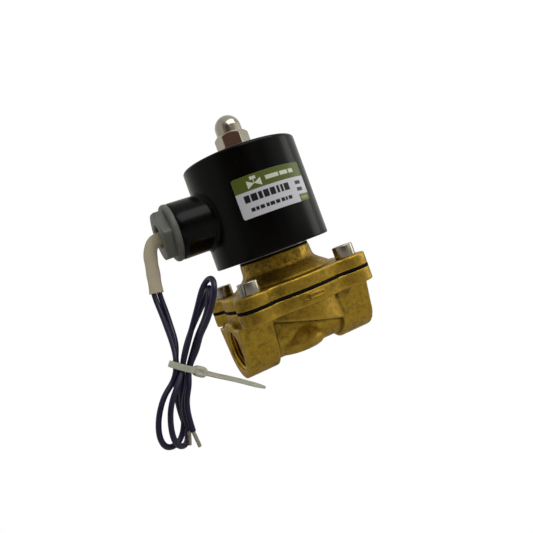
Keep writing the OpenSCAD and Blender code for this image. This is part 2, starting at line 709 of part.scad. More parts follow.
// Printed label, bent round the front of the shell.
module label() {
    reach = shell_r + 10;
    steps = 8;
    wedge = concat([[0, 0]], [for (i = [0:steps]) let (a = -90 + label_a0 + (label_a1 - label_a0) * i / steps) polar(reach, a)]);
    color("#cfcfd6") at_valve() intersection() {
        ring(shell_r + label_t, shell_r, coil_z + label_z, label_h);
        translate([0, 0, coil_z]) linear_extrude(shell_h) polygon(wedge);
    }
}

valve_body();
bonnet();
bonnet_screws();
diaphragm();
pilot_insert();
support_washer();
lift_spring();
plunger();
plunger_seal();
return_spring();
armature_tube();
fixed_core();
tube_collar();
tube_o_ring();
coil_seal();
base_washer();
flat_washer();
spring_washer();
acorn_nut();
coil_shell();
flux_plate();
coil_bobbin();
coil_winding();
winding_tape();
coil_potting();
conduit_hub();
gland_body();
gland_nut();
gland_grommet();
lead_sleeve();
lead_a();
lead_b();
lead_a_tip();
lead_b_tip();
splice_sleeves();
cable_tie();
label();
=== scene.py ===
"""Looks of a two-way solenoid valve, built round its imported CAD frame."""

import math

import bmesh
import bpy
import numpy as np
from mathutils import Matrix, Vector


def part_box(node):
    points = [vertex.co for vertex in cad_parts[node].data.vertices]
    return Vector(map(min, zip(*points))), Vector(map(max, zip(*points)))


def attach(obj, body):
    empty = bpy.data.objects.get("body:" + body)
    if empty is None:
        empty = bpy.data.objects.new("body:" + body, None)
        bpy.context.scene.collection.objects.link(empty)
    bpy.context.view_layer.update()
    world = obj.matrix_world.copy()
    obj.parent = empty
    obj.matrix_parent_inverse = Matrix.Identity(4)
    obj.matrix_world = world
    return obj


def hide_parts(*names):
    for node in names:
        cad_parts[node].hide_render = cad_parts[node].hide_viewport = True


bl_info = {
    "name": "Solenoid Valve",
    "version": (1, 0, 0),
    "blender": (4, 5, 0),
    "location": "3D View > Sidebar > Valve",
    "description": "Builds the visible pieces of a solenoid valve round its CAD frame",
    "category": "Object",
}

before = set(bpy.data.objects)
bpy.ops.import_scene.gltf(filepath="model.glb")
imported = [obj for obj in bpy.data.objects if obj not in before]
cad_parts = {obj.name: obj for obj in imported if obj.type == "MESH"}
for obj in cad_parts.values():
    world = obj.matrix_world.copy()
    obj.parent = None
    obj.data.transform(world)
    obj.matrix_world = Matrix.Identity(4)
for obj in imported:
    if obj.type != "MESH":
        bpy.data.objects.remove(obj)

MM = 0.001
TAU = 2 * math.pi


def span(node):
    """Lowest and highest corner of a CAD node, in millimetres."""
    low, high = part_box(node)
    return np.array(low) / MM, np.array(high) / MM


SHELL_LOW, SHELL_HIGH = span("coil_shell")
AXIS_X = (SHELL_LOW[0] + SHELL_HIGH[0]) / 2
SHELL_R = (SHELL_HIGH[0] - SHELL_LOW[0]) / 2
COIL_Z = SHELL_LOW[2]
HUB_LOW, HUB_HIGH = span("conduit_hub")
HUB_Z = (HUB_LOW[2] + HUB_HIGH[2]) / 2
HUB_END = AXIS_X - HUB_LOW[0]
SCREW_X, SCREW_Y = 21.7, 19.5


def linear(code):
    """An sRGB hex colour as a linear RGBA tuple."""
    parts = [int(code[i : i + 2], 16) / 255 for i in (1, 3, 5)]
    return tuple(c / 12.92 if c <= 0.04045 else ((c + 0.055) / 1.055) ** 2.4 for c in parts) + (1.0,)


# ---------------------------------------------------------------- routes and shared shapes

LEAD_A = [
    (-28, 0, 54.7), (-42, 0, 54.7), (-45, 0, 54.5), (-47.5, 0, 53.5), (-49.5, 0, 51), (-50.8, 0, 47.5),
    (-52.4, 0, 38.5), (-53.2, 0, 33.5), (-53.4, -2, 27), (-53.8, -6.5, 20), (-54.5, -11.5, 13.5),
    (-56.2, -15.2, 7), (-59.2, -15.5, 2), (-63.2, -16.5, -1), (-66.8, -17.5, -5), (-69.1, -17.5, -9.5),
    (-70.1, -16.9, -15), (-68.2, -14.5, -19.2), (-64.5, -12.5, -19.6), (-61.1, -11.4, -16.1),
    (-57.7, -11.5, -4.7), (-55.7, -12, 0.3), (-53.9, -12.7, 5), (-46.4, -16.2, 17.2),
    (-39.9, -20.1, 24.9), (-37.9, -22.3, 27.8), (-37.6, -25.9, 29.2), (-38.7, -28.9, 28.2),
    (-40.4, -30.2, 25), (-43.6, -25.6, 18.6), (-46, -19.2, 14.1), (-49, -14.2, 8.5), (-52.5, -13, 2.8),
    (-54.7, -14.2, -1.4), (-57.3, -14.4, -5.6), (-59.4, -14, -13.4), (-59.6, -14, -17),
]
LEAD_B = [
    (-28, 0, 52.5), (-42, 0, 52.5), (-44.2, 0, 52.4), (-46.3, 0, 51.5), (-47.9, 0, 49.5),
    (-48.6, 0, 46.8), (-50.2, 0, 38.1), (-51, 0, 33.4), (-51.3, -1.5, 26.3), (-51.8, -4, 19.3),
    (-53, -8.1, 12.8), (-56, -12.5, 6.8), (-57.5, -11.4, 1.6), (-58.9, -9, -4), (-59.8, -7.6, -14.5),
    (-60.2, -9.1, -19.2), (-62.3, -12.4, -21.4), (-64.9, -16, -19.8), (-66, -18.9, -15.5),
    (-65.3, -20, -10.3), (-63.6, -19.8, -5.9), (-60.9, -19, -2.1), (-57.7, -17.6, 1.2),
    (-54.4, -15.2, 5.3), (-47.4, -20.6, 17.5), (-42, -21.8, 25.6), (-39.5, -24.3, 29.8),
    (-37.3, -27.7, 32.1), (-36.7, -31.2, 31.6), (-37.7, -33.5, 28.6), (-39.6, -33.1, 24.8),
    (-43.4, -28.6, 18.3), (-45.8, -22.8, 14.1), (-48.4, -17.4, 8.7), (-52.7, -15.5, 3),
    (-54.5, -16.6, -1.2), (-56.7, -16.9, -5.3), (-58.7, -16.5, -17.3),
]
SLEEVE = [
    (-30, 0, 53.6), (-42, 0, 53.6), (-44.8, 0, 53.4), (-46.9, 0, 52.5), (-48.6, 0, 50.4), (-49.7, 0, 47.2),
    (-50.5, 0, 42.8), (-51.3, 0, 38.3), (-52.1, 0, 33.6),
]
TIP_A = (-61.2, -14, -22)
TIP_B = (-58.2, -16.2, -23.4)
TIE_CENTRE = (-54.3, -14.1, 5.05)
TIE_TAIL = [
    (-48.6, -14.1, 0.8), (-44.9, -14.1, -2), (-40.2, -14.1, -5.3), (-35.6, -14.1, -8.6),
    (-31.4, -14.1, -11.8), (-27.4, -14.1, -14.8),
]


def smooth_line(points, count):
    """A natural cubic spline through the points, with the chord lengths as its parameter, at count equal steps.
    The points are in the valve's own axes and the result is in the row frame."""
    p = np.array(points, float) + [AXIS_X, 0, 0]
    h = np.linalg.norm(np.diff(p, axis=0), axis=1)
    t = np.concatenate([[0], np.cumsum(h)])
    n = len(p)
    a = np.eye(n)
    rows = np.arange(1, n - 1)
    a[rows, rows - 1] = h[:-1]
    a[rows, rows] = 2 * (h[:-1] + h[1:])
    a[rows, rows + 1] = h[1:]
    b = np.zeros((n, 3))
    slope = np.diff(p, axis=0) / h[:, None]
    b[1:-1] = 6 * np.diff(slope, axis=0)
    m = np.linalg.solve(a, b)
    s = np.linspace(0, t[-1], count)
    k = np.clip(np.searchsorted(t, s, side="right") - 1, 0, n - 2)
    f, g = (t[k + 1] - s)[:, None], (s - t[k])[:, None]
    hk = h[k][:, None]
    return (
        (m[k] * f**3 + m[k + 1] * g**3) / (6 * hk)
        + (p[k] / hk - m[k] * hk / 6) * f
        + (p[k + 1] / hk - m[k + 1] * hk / 6) * g
    )


def line_length(line):
    """The sum of the steps between a line's points."""
    return float(np.linalg.norm(np.diff(line, axis=0), axis=1).sum())


def unit(v):
    """Vectors divided by their own lengths."""
    return v / np.linalg.norm(v, axis=-1, keepdims=True)


def sweep(line, first, offsets):
    """Carries a cross-section along a line. The section's first direction starts as near to first as it can and is
    laid square to the line at each point; offsets holds, per point, the distances along the two directions."""
    tangent = unit(np.gradient(line, axis=0))
    one = np.broadcast_to(np.array(first, float), tangent.shape)
    one = unit(one - (one * tangent).sum(1, keepdims=True) * tangent)
    two = np.cross(tangent, one)
    return line[:, None] + offsets[..., :1] * one[:, None] + offsets[..., 1:] * two[:, None]


def power(a, n):
    """The size of a raised to n, with a's sign."""
    return np.sign(a) * np.abs(a) ** n


def around(count):
    """Angles of so many equal steps round a circle."""
    return np.arange(count) * TAU / count


def oval(a, b, angle):
    """Offsets round an oval: a times the angle's cosine one way and b times its sine the other."""
    return np.stack([a * np.cos(angle), b * np.sin(angle)], -1)


def capped(rings, line):
    """Rings of points with both ends closed on the line's first and last point."""
    ends = [np.broadcast_to(line[i], (1, rings.shape[1], 3)) for i in (0, -1)]
    return np.concatenate([ends[0], rings, ends[1]])


def ring_faces(rows, columns, loop_rows=False, loop_columns=True):
    """Quads of a grid of points, closed round either way."""
    i = np.arange(rows if loop_rows else rows - 1)[:, None]
    j = np.arange(columns if loop_columns else columns - 1)[None, :]
    up, right = (i + 1) % rows, (j + 1) % columns
    quads = [i * columns + j, up * columns + j, up * columns + right, i * columns + right]
    return np.stack([np.broadcast_to(q, (i.size, j.size)) for q in quads], -1).reshape(-1, 4)


def piece(name, points, quads, finish_name, body, nodes=(), sharp=32, colours=None):
    """Makes a mesh from points in millimetres and quads, merges equal points unless it is given colours, and sets it on
    its CAD body.
    """
    points = np.asarray(points, float).reshape(-1, 3)
    mesh = bpy.data.meshes.new(name)
    mesh.vertices.add(len(points))
    mesh.vertices.foreach_set("co", (points * MM).astype(np.float32).ravel())
    mesh.loops.add(quads.size)
    mesh.loops.foreach_set("vertex_index", quads.astype(np.int32).ravel())
    mesh.polygons.add(len(quads))
    mesh.polygons.foreach_set("loop_start", np.arange(0, quads.size, 4, dtype=np.int32))
    mesh.update(calc_edges=True)
    if colours is not None:
        # On the sleeving this attribute carries painted shade as well as its colour.
        layer = mesh.color_attributes.new("print", "FLOAT_COLOR", "POINT")
        layer.data.foreach_set("color", np.asarray(colours, np.float32).reshape(-1, 4).ravel())
    return dress(name, mesh, finish_name, body, nodes, sharp, clean=colours is None)


def dress(name, mesh, finish_name, body, nodes, sharp=32, clean=True):
    """Cleans a mesh, shades it smooth but for its sharp edges, and puts it in the scene."""
    if clean:
        edit = bmesh.new()
        edit.from_mesh(mesh)
        bmesh.ops.remove_doubles(edit, verts=edit.verts, dist=1e-6)
        bmesh.ops.dissolve_degenerate(edit, edges=edit.edges, dist=1e-7)
        bmesh.ops.recalc_face_normals(edit, faces=edit.faces)
        edit.to_mesh(mesh)
        edit.free()
    mesh.shade_smooth()
    mesh.set_sharp_from_angle(angle=math.radians(sharp))
    mesh.materials.clear()
    mesh.materials.append(finish(finish_name))
    made = bpy.data.objects.new(name, mesh)
    bpy.context.scene.collection.objects.link(made)
    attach(made, body)
    if nodes:
        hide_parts(*nodes)
    return made


def rounded(profile, radius, steps=4):
    """A profile of (r, z) corners with each inner corner turned to an arc of the given radius, or less where the
    sides are short. Each corner's arc touches both of its sides."""
    p = np.array(profile, float)
    rows = [p[:1]]
    for i in range(1, len(p) - 1):
        back, on = p[i - 1] - p[i], p[i + 1] - p[i]
        u, v = unit(back), unit(on)
        half = math.acos(np.clip(u @ v, -1, 1)) / 2
        cut = min(radius / max(math.tan(half), 1e-3), 0.45 * np.linalg.norm(back), 0.45 * np.linalg.norm(on))
        middle = p[i] + unit(u + v) * cut / math.cos(half) if half < 1.56 else None
        if middle is None:
            rows.append(p[i : i + 1])
            continue
        a, b = p[i] + u * cut - middle, p[i] + v * cut - middle
        t = np.linspace(0, 1, steps + 1)[:, None]
        rows.append(middle + unit(a * (1 - t) + b * t) * np.linalg.norm(a))
    rows.append(p[-1:])
    return np.concatenate(rows)


def turned(profile, centre=(0, 0, 0), along="z", sides=160, radius=None):
    """A profile of (r, z) points turned round an axis: each point goes round a circle of radius r at height z.
    radius, where given, is a function of r and the angle that reshapes the circle."""
    p = np.asarray(profile, float)
    angle = around(sides)
    r = np.broadcast_to(p[:, :1], (len(p), sides))
    if radius is not None:
        r = radius(r, angle[None, :], np.broadcast_to(p[:, 1:], r.shape))
    z = np.broadcast_to(p[:, 1:], r.shape)
    x, y = r * np.cos(angle), r * np.sin(angle)
    points = np.stack([-z, x, y] if along == "-x" else [x, y, z], -1)
    return points + np.array(centre, float), ring_faces(len(p), sides)


def hexagon(across, sharpness, turn, where):
    """A function for turned that limits the circle to a hexagon of half its width across the flats, where where says.
    The edge's distance is that half width over the root of three cosines' powers added: a higher power is sharper."""

    def limit(r, angle, z):
        total = sum(np.abs(np.cos(angle - turn - k * TAU / 6)) ** sharpness for k in range(3))
        return np.where(where(r, z), np.minimum(r, across / total ** (1 / sharpness)), r)

    return limit


# ---------------------------------------------------------------- materials


def add(tree, kind, inputs=None, **settings):
    """Adds a shader node, sets its properties, and sets or links its inputs. An input goes by its name, or by its
    number where names repeat, and a node given as a value stands for its first live output."""
    made = tree.nodes.new(kind)
    for key, value in settings.items():
        setattr(made, key, value)
    for key, value in (inputs or {}).items():
        by_name = (s for s in made.inputs if s.enabled and s.name == key)
        socket = made.inputs[key] if isinstance(key, int) else next(by_name)
        if isinstance(value, bpy.types.Node):
            value = next(s for s in value.outputs if s.enabled)
        if isinstance(value, bpy.types.NodeSocket):
            tree.links.new(value, socket)
        else:
            socket.default_value = value
    return made


def material(name, base, roughness, metallic=0.0, **sockets):
    """A Principled material with no maps yet: returns it, its tree, its shader node and its own millimetres."""
    made = bpy.data.materials.new(name)
    made.use_nodes = True
    tree = made.node_tree
    tree.nodes.clear()
    settings = {"Base Color": base, "Roughness": roughness, "Metallic": metallic}
    settings.update({key.replace("_", " "): value for key, value in sockets.items()})
    shader = add(tree, "ShaderNodeBsdfPrincipled", settings)
    add(tree, "ShaderNodeOutputMaterial", {"Surface": shader})
    coords = add(tree, "ShaderNodeTexCoord").outputs["Object"]
    mm = add(tree, "ShaderNodeMapping", {"Vector": coords, "Scale": (1000, 1000, 1000)})
    made.diffuse_color = base
    return made, tree, shader, mm


def drive(shader, **maps):
    """Links nodes to the shader's inputs. Each keyword is an input's name, with _ for a space."""
    for key, node in maps.items():
        source = next(s for s in node.outputs if s.enabled)
        shader.id_data.links.new(source, shader.inputs[key.replace("_", " ")])


def forged_brass():
    """Hot-stamped brass, shot-blasted and tumbled: fine pits, slow waves, olive stains and a few black specks."""
    c = bpy.context.scene.valve_colours
    brass, bright, olive = tuple(c.brass), tuple(c.brass_light), tuple(c.brass_stain)
    made, tree, shader, mm = material("Brass_Forged_Shotblasted", brass, 0.42, 1.0)
    # Grain of 0.4 mm, grime of 2 mm, stains of 9 mm, waves of 5 mm and pits of 1 mm.
    grain, grime, stain, waves, pits = (
        add(tree, "ShaderNodeTexNoise", {"Vector": mm, "Scale": scale, "Detail": detail, "Roughness": rough})
        for scale, detail, rough in ((1.6, 4, 0.7), (0.5, 6, 0.68), (0.11, 5, 0.62), (0.2, 1, 0.4), (1.1, 2, 0.5))
    )
    worn = add(tree, "ShaderNodeMapRange", {"Value": grain, "From Min": 0.35, "From Max": 0.7})
    # Olive blotches grow stronger with height, up over the flange's upper side and the neck's foot, and fade away below
    # the flange.
    height = add(tree, "ShaderNodeSeparateXYZ", {0: mm}).outputs[2]
    upward_ramp = add(tree, "ShaderNodeMapRange", {"Value": height, "From Min": 14, "From Max": 30, "To Max": 0.62})
    blotch = add(tree, "ShaderNodeMapRange", {"Value": grime, "From Min": 0.42, "From Max": 0.60})
    upward_blotch = add(tree, "ShaderNodeMath", {0: upward_ramp, 1: blotch}, operation="MULTIPLY")
    # Painted shade darkens the crevices, and painted highlights lighten the edges.
    hollow = add(tree, "ShaderNodeAttribute", attribute_name="hollow").outputs["Fac"]
    # One dark speck on the front of the web.
    speck_centre = (AXIS_X + 3.9, -10.4, 0.5)
    spot = add(tree, "ShaderNodeVectorMath", {0: mm, 1: speck_centre}, operation="DISTANCE")
    colour = add(tree, "ShaderNodeMix", {0: worn, 6: brass, 7: bright}, data_type="RGBA")
    # Each coat: what drives it, where it starts and is full, how strong it is at either, and its colour.
    for driver, start, full, least, most, coat in (
        (grime, 0.46, 0.72, 0, 0.5, olive),
        (stain, 0.52, 0.72, 0, 0.8, olive),
        (upward_blotch, 0, 1, 0, 1, olive),
        (pits, 0.71, 0.76, 0, 0.8, linear("#241a0a")),
        # Painted shade in the crevices.
        (hollow, 0.03, 0.26, 0, 0.7, linear("#3a2b10")),
        # Painted highlight on the edges.
        (hollow, -0.04, -0.3, 0, 0.55, bright),
        (spot, 0.75, 0.95, 1, 0, linear("#0c0806")),
    ):
        ramp = {"Value": driver, "From Min": start, "From Max": full, "To Min": least, "To Max": most}
        cover = add(tree, "ShaderNodeMapRange", ramp)
        colour = add(tree, "ShaderNodeMix", {0: cover, 6: colour, 7: coat}, data_type="RGBA")
    ramp = {"Value": grime, "From Min": 0.35, "From Max": 0.7, "To Min": 0.36, "To Max": 0.55}
    gloss = add(tree, "ShaderNodeMapRange", ramp)
    relief = add(tree, "ShaderNodeBump", {"Height": waves, "Distance": 0.2 * MM, "Strength": 0.4})
    relief = add(tree, "ShaderNodeBump", {"Height": grain, "Distance": 0.09 * MM, "Strength": 1.0, "Normal": relief})
    relief = add(tree, "ShaderNodeBump", {"Height": pits, "Distance": 0.04 * MM, "Strength": 0.5, "Normal": relief})
    drive(shader, Base_Color=colour, Roughness=gloss, Normal=relief)
    return made


def threaded_brass():
    """Brass cut by a tap: bright, with fine rings left by the tool round the port."""
    c = bpy.context.scene.valve_colours
    made, tree, shader, mm = material("Brass_Tapped", tuple(c.brass_cut), 0.2, 1.0)
    cloud = add(tree, "ShaderNodeTexNoise", {"Vector": mm, "Scale": 0.4, "Detail": 3.0})
    amount = add(tree, "ShaderNodeMapRange", {"Value": cloud, "From Min": 0.45, "From Max": 0.75})
    colour = add(tree, "ShaderNodeMix", {0: amount, 6: tuple(c.brass_cut), 7: tuple(c.brass)}, data_type="RGBA")
    along = add(tree, "ShaderNodeMapping", {"Vector": mm, "Scale": (9, 0.4, 0.4)})
    rings = add(tree, "ShaderNodeTexNoise", {"Vector": along, "Scale": 1.0, "Detail": 2.0})
    relief = add(tree, "ShaderNodeBump", {"Height": rings, "Distance": 0.01 * MM, "Strength": 0.6})
    drive(shader, Base_Color=colour, Normal=relief)
    return made


def plated(name, base, rough, lines, depth=0.004):
    """Turned and plated metal: a bright skin, faintly clouded, with turning lines that run round the axis."""
    made, tree, shader, mm = material(name, base, rough, 1.0)
    cloud = add(tree, "ShaderNodeTexNoise", {"Vector": mm, "Scale": 0.3, "Detail": 3.0, "Roughness": 0.5})
    dulled = add(tree, "ShaderNodeMapRange", {"Value": cloud, "From Min": 0.5, "From Max": 0.85, "To Max": 0.25})
    dull = tuple(0.6 * v for v in base[:3]) + (1.0,)
    colour = add(tree, "ShaderNodeMix", {0: dulled, 6: base, 7: dull}, data_type="RGBA")
    ramp = {"Value": cloud, "From Min": 0.3, "From Max": 0.8, "To Min": rough * 0.9, "To Max": rough * 1.3}
    gloss = add(tree, "ShaderNodeMapRange", ramp)
    around = add(tree, "ShaderNodeMapping", {"Vector": mm, "Scale": (0.3, 0.3, lines)})
    fine = add(tree, "ShaderNodeTexNoise", {"Vector": around, "Scale": 1.0, "Detail": 3.0, "Roughness": 0.6})
    relief = add(tree, "ShaderNodeBump", {"Height": fine, "Distance": depth * MM, "Strength": 0.7})
    drive(shader, Base_Color=colour, Roughness=gloss, Normal=relief)
    return made


def baked_enamel():
    """Black stoving enamel on a steel can: satin, with slight orange peel, a little haze and a few dust specks."""
    black = tuple(bpy.context.scene.valve_colours.enamel)
    made, tree, shader, mm = material("Steel_Black_Enamel", black, 0.2, Specular_IOR_Level=0.17)
    haze, specks, peel = (
        add(tree, "ShaderNodeTexNoise", {"Vector": mm, "Scale": scale, "Detail": detail, "Roughness": rough})
        for scale, detail, rough in ((0.09, 4, 0.6), (1.7, 2, 0.4), (0.9, 2, 0.5))
    )
    hazed = add(tree, "ShaderNodeMapRange", {"Value": haze, "From Min": 0.45, "From Max": 0.8, "To Max": 0.3})
    dusty = add(tree, "ShaderNodeMapRange", {"Value": specks, "From Min": 0.76, "From Max": 0.79, "To Max": 0.3})
    colour = add(tree, "ShaderNodeMix", {0: hazed, 6: black, 7: linear("#0a0a0a")}, data_type="RGBA")
    colour = add(tree, "ShaderNodeMix", {0: dusty, 6: colour, 7: linear("#8f8d86")}, data_type="RGBA")
    ramp = {"Value": haze, "From Min": 0.3, "From Max": 0.75, "To Min": 0.17, "To Max": 0.26}
    gloss = add(tree, "ShaderNodeMapRange", ramp)
    relief = add(tree, "ShaderNodeBump", {"Height": peel, "Distance": 0.01 * MM, "Strength": 0.4})
    drive(shader, Base_Color=colour, Roughness=gloss, Normal=relief)
    return made


def moulded(name, base, rough, grain_mm=0.25, depth=0.012, **sockets):
    """Moulded plastic or rubber: an even colour with a slight cloud, and a fine grain from the tool."""
    made, tree, shader, mm = material(name, base, rough, 0.0, **sockets)
    cloud = add(tree, "ShaderNodeTexNoise", {"Vector": mm, "Scale": 0.3, "Detail": 4.0, "Roughness": 0.6})
    grain = add(tree, "ShaderNodeTexNoise", {"Vector": mm, "Scale": 1 / grain_mm, "Detail": 2.0, "Roughness": 0.5})
    clouded = add(tree, "ShaderNodeMapRange", {"Value": cloud, "From Min": 0.4, "From Max": 0.72})
    dark = tuple(0.82 * v for v in base[:3]) + (1.0,)
    colour = add(tree, "ShaderNodeMix", {0: clouded, 6: base, 7: dark}, data_type="RGBA")
    dullest = min(1.0, rough * 1.15)
    ramp = {"Value": cloud, "From Min": 0.3, "From Max": 0.75, "To Min": rough * 0.9, "To Max": dullest}
    gloss = add(tree, "ShaderNodeMapRange", ramp)
    relief = add(tree, "ShaderNodeBump", {"Height": grain, "Distance": depth * MM, "Strength": 0.6})
    drive(shader, Base_Color=colour, Roughness=gloss, Normal=relief)
    return made


def printed(name, rough):
    """A surface whose colours are its own attribute, under an even gloss with a fine grain: print on the label, and on
    the sleeving its colour with painted shade in the weave and inside.
    """
    made, tree, shader, mm = material(name, linear("#bcbcbc"), rough)
    ink_and_shade = add(tree, "ShaderNodeAttribute", attribute_name="print")
    grain = add(tree, "ShaderNodeTexNoise", {"Vector": mm, "Scale": 1 / 0.3, "Detail": 2.0, "Roughness": 0.5})
    relief = add(tree, "ShaderNodeBump", {"Height": grain, "Distance": 0.006 * MM, "Strength": 0.5})
    drive(shader, Base_Color=ink_and_shade, Normal=relief)
    return made


# Each finish: its maker and the maker's values. Plated metal has its name, colour, roughness, turning lines to the
# millimetre and their depth in mm; a moulding its name, colour, roughness, grain in mm and its depth in mm; a print its
# name and roughness. A colour is a hex value or the name of a colour setting.
FINISHES = {
    "brass": (forged_brass,),
    "cut": (threaded_brass,),
    "enamel": (baked_enamel,),
    # Nickel over turned steel: warm and mirror-bright. Zinc: cooler and duller. Phosphated spring steel: dull grey.
    "nickel": (plated, "Steel_Nickel_Plated", "nickel", 0.16, 12, 0.0006),
    "zinc": (plated, "Steel_Zinc_Plated", "#a9a69d", 0.3, 8),
    "spring": (plated, "Spring_Steel_Phosphated", "#8d8a84", 0.34, 8),
    # Turned stainless steel and ground soft iron, inside: pale grey with fine rings.
    "steel": (plated, "Stainless_Turned", "#b5b4b0", 0.26, 12),
    "iron": (plated, "Iron_Soft_Ground", "#9a9a99", 0.34, 6),
    # Enamelled winding wire: an orange sheen across the turns. Tinned strands: pale and slightly dull.
    "copper": (plated, "Copper_Winding_Enamelled", "#b0602c", 0.35, 4),
    "tin": (plated, "Copper_Tinned_Strands", "#b9b3a4", 0.3, 3),
    # Moulded and extruded plastics: satin and evenly coloured. Natural nylon lets some light in.
    "grey": (moulded, "Nylon_Grey_Moulded", "gland", 0.46),
    "lead": (moulded, "Lead_Insulation_Extruded", "lead", 0.36, 0.6, 0.02),
    "tie": (moulded, "Nylon_Natural_Moulded", "tie", 0.36, 0.5, 0.01),
    "bobbin": (moulded, "Bobbin_Nylon_Moulded", "#d6cba8", 0.5),
    "resin": (moulded, "Resin_Potting_Cast", "#26221e", 0.55),
    "tape": (moulded, "Tape_Polyester_Wrapped", "#c8a53a", 0.3),
    # Nitrile rubber: black and matt, with hardly any shine.
    "rubber": (moulded, "Rubber_Nitrile_Black", "#060606", 0.85),
    # Varnished glass sleeving: cream and matt. Printed film: flat colours under a slight gloss.
    "sleeve": (printed, "Glass_Sleeving_Varnished", 0.78),
    "label": (printed, "Film_Label_Printed", 0.36),
}
EXTRAS = {
    "rubber": {"Specular_IOR_Level": 0.2},
    "tie": {"Subsurface_Weight": 0.5, "Subsurface_Radius": (0.004, 0.004, 0.003), "Subsurface_Scale": 0.3},
}


def finish(key):
    """The finish of that name, made on its first use and shared after that."""
    scene = bpy.context.scene
    store = dict(scene.get("valve_made", {}))
    if store.get(key, "") not in bpy.data.materials:
        maker, *values = FINISHES[key]
        if maker in (plated, moulded):
            code = values[1]
            values[1] = linear(code) if code[0] == "#" else tuple(getattr(scene.valve_colours, code))
        store[key] = maker(*values, **EXTRAS.get(key, {})).name
        scene["valve_made"] = store
    return bpy.data.materials[store[key]]


# ---------------------------------------------------------------- settings


def length(name, text, default, least=0.0):
    """A size setting in millimetres."""
    return bpy.props.FloatProperty(name=name, description=text, default=default, min=least)


def tint(name, text, code):
    """A colour setting, given as sRGB hex and kept linear."""
    return bpy.props.FloatVectorProperty(name=name, description=text, subtype="COLOR", size=4, default=linear(code))


class ValveSizes(bpy.types.PropertyGroup):
    """Sizes of the visible details, in millimetres."""

    lead_d: length("Lead diameter", "Over the insulation, mm", 2.1, 1)
    thread_pitch: length("Thread pitch", "Of the ports, mm", 1.337, 0.5)
    thread_depth: length("Thread depth", "Crest to root, mm", 0.7, 0.1)
    label_corner: length("Label corner", "Corner radius, mm", 1.1)
    voxel: length("Forging grid", "Step of the forged mesh, mm", 0.42, 0.3)
    forging_soft: bpy.props.IntProperty(name="Forging softness", description="Smoothing passes", default=5, min=0)
    weave: length("Weave relief", "Of the sleeving, mm", 0.05)


class ValveColours(bpy.types.PropertyGroup):
    """Colours of the finishes."""

    brass: tint("Brass", "Forged brass", "#b9942f")
    # Also the colour of the painted highlights on the forgings' edges.
    brass_light: tint("Brass, bright", "Worn high spots", "#d2ae48")
    brass_stain: tint("Brass, stained", "Handling stains", "#5d4a22")
    brass_cut: tint("Brass, cut", "Threads", "#c9a440")
    nickel: tint("Nickel", "Nut and screws", "#c6c0b0")
    enamel: tint("Enamel", "Coil can", "#030303")
    gland: tint("Gland", "Grey nylon", "#6b6d67")
    lead: tint("Lead", "Lead insulation", "#170f3a")
    sleeve: tint("Sleeving", "Woven glass sleeving", "#f0e4c4")
    tie: tint("Tie", "Natural nylon", "#d4d4c4")
    label_green: tint("Label band", "Printed band", "#59681e")
    label_white: tint("Label field", "Printed field", "#dadae2")


# ---------------------------------------------------------------- pieces


def cord_curve(name, line, diameter):
    """A round tube as one open spline along the line."""
    data = bpy.data.curves.new(name, "CURVE")
    data.dimensions = "3D"
    spline = data.splines.new("POLY")
    spline.points.add(len(line) - 1)
    spline.points.foreach_set("co", np.column_stack([line * MM, np.ones(len(line))]).astype(np.float32).ravel())
    spline.use_smooth = True
    data.bevel_depth = diameter / 2 * MM
    data.bevel_resolution = 6
    data.use_fill_caps = True
    made = bpy.data.objects.new(name, data)
    bpy.context.scene.collection.objects.link(made)
    return made


class VALVE_OT_camera(bpy.types.Operator):
    """Sets the camera level with the coil, to the left of the front, with the picture turned to the left."""

    bl_idname = "valve.camera"
    bl_label = "Camera"

    def execute(self, context):
        azimuth, elevation, roll = (math.radians(a) for a in (-20.883, -0.9, -20.056))
        place = Vector((AXIS_X - 80.03, -209.77, 36.47)) * MM
        right = Vector((math.cos(azimuth), math.sin(azimuth), 0))
        flat = Vector((math.sin(azimuth), -math.cos(azimuth), 0))
        back = flat * math.cos(elevation) + Vector((0, 0, math.sin(elevation)))
        up = back.cross(right)
        turned_right = math.cos(roll) * right + math.sin(roll) * up
        turned_up = -math.sin(roll) * right + math.cos(roll) * up
        data = bpy.data.cameras.new("Camera")
        data.lens = 35.25
        data.sensor_width = 36
        data.shift_x = -0.0013
        data.shift_y = -0.057
        data.clip_start = 0.01
        made = bpy.data.objects.new("Camera", data)
        made.matrix_world = Matrix.Translation(place) @ Matrix((turned_right, turned_up, back)).transposed().to_4x4()
        context.scene.collection.objects.link(made)
        context.scene.camera = made
        return {"FINISHED"}


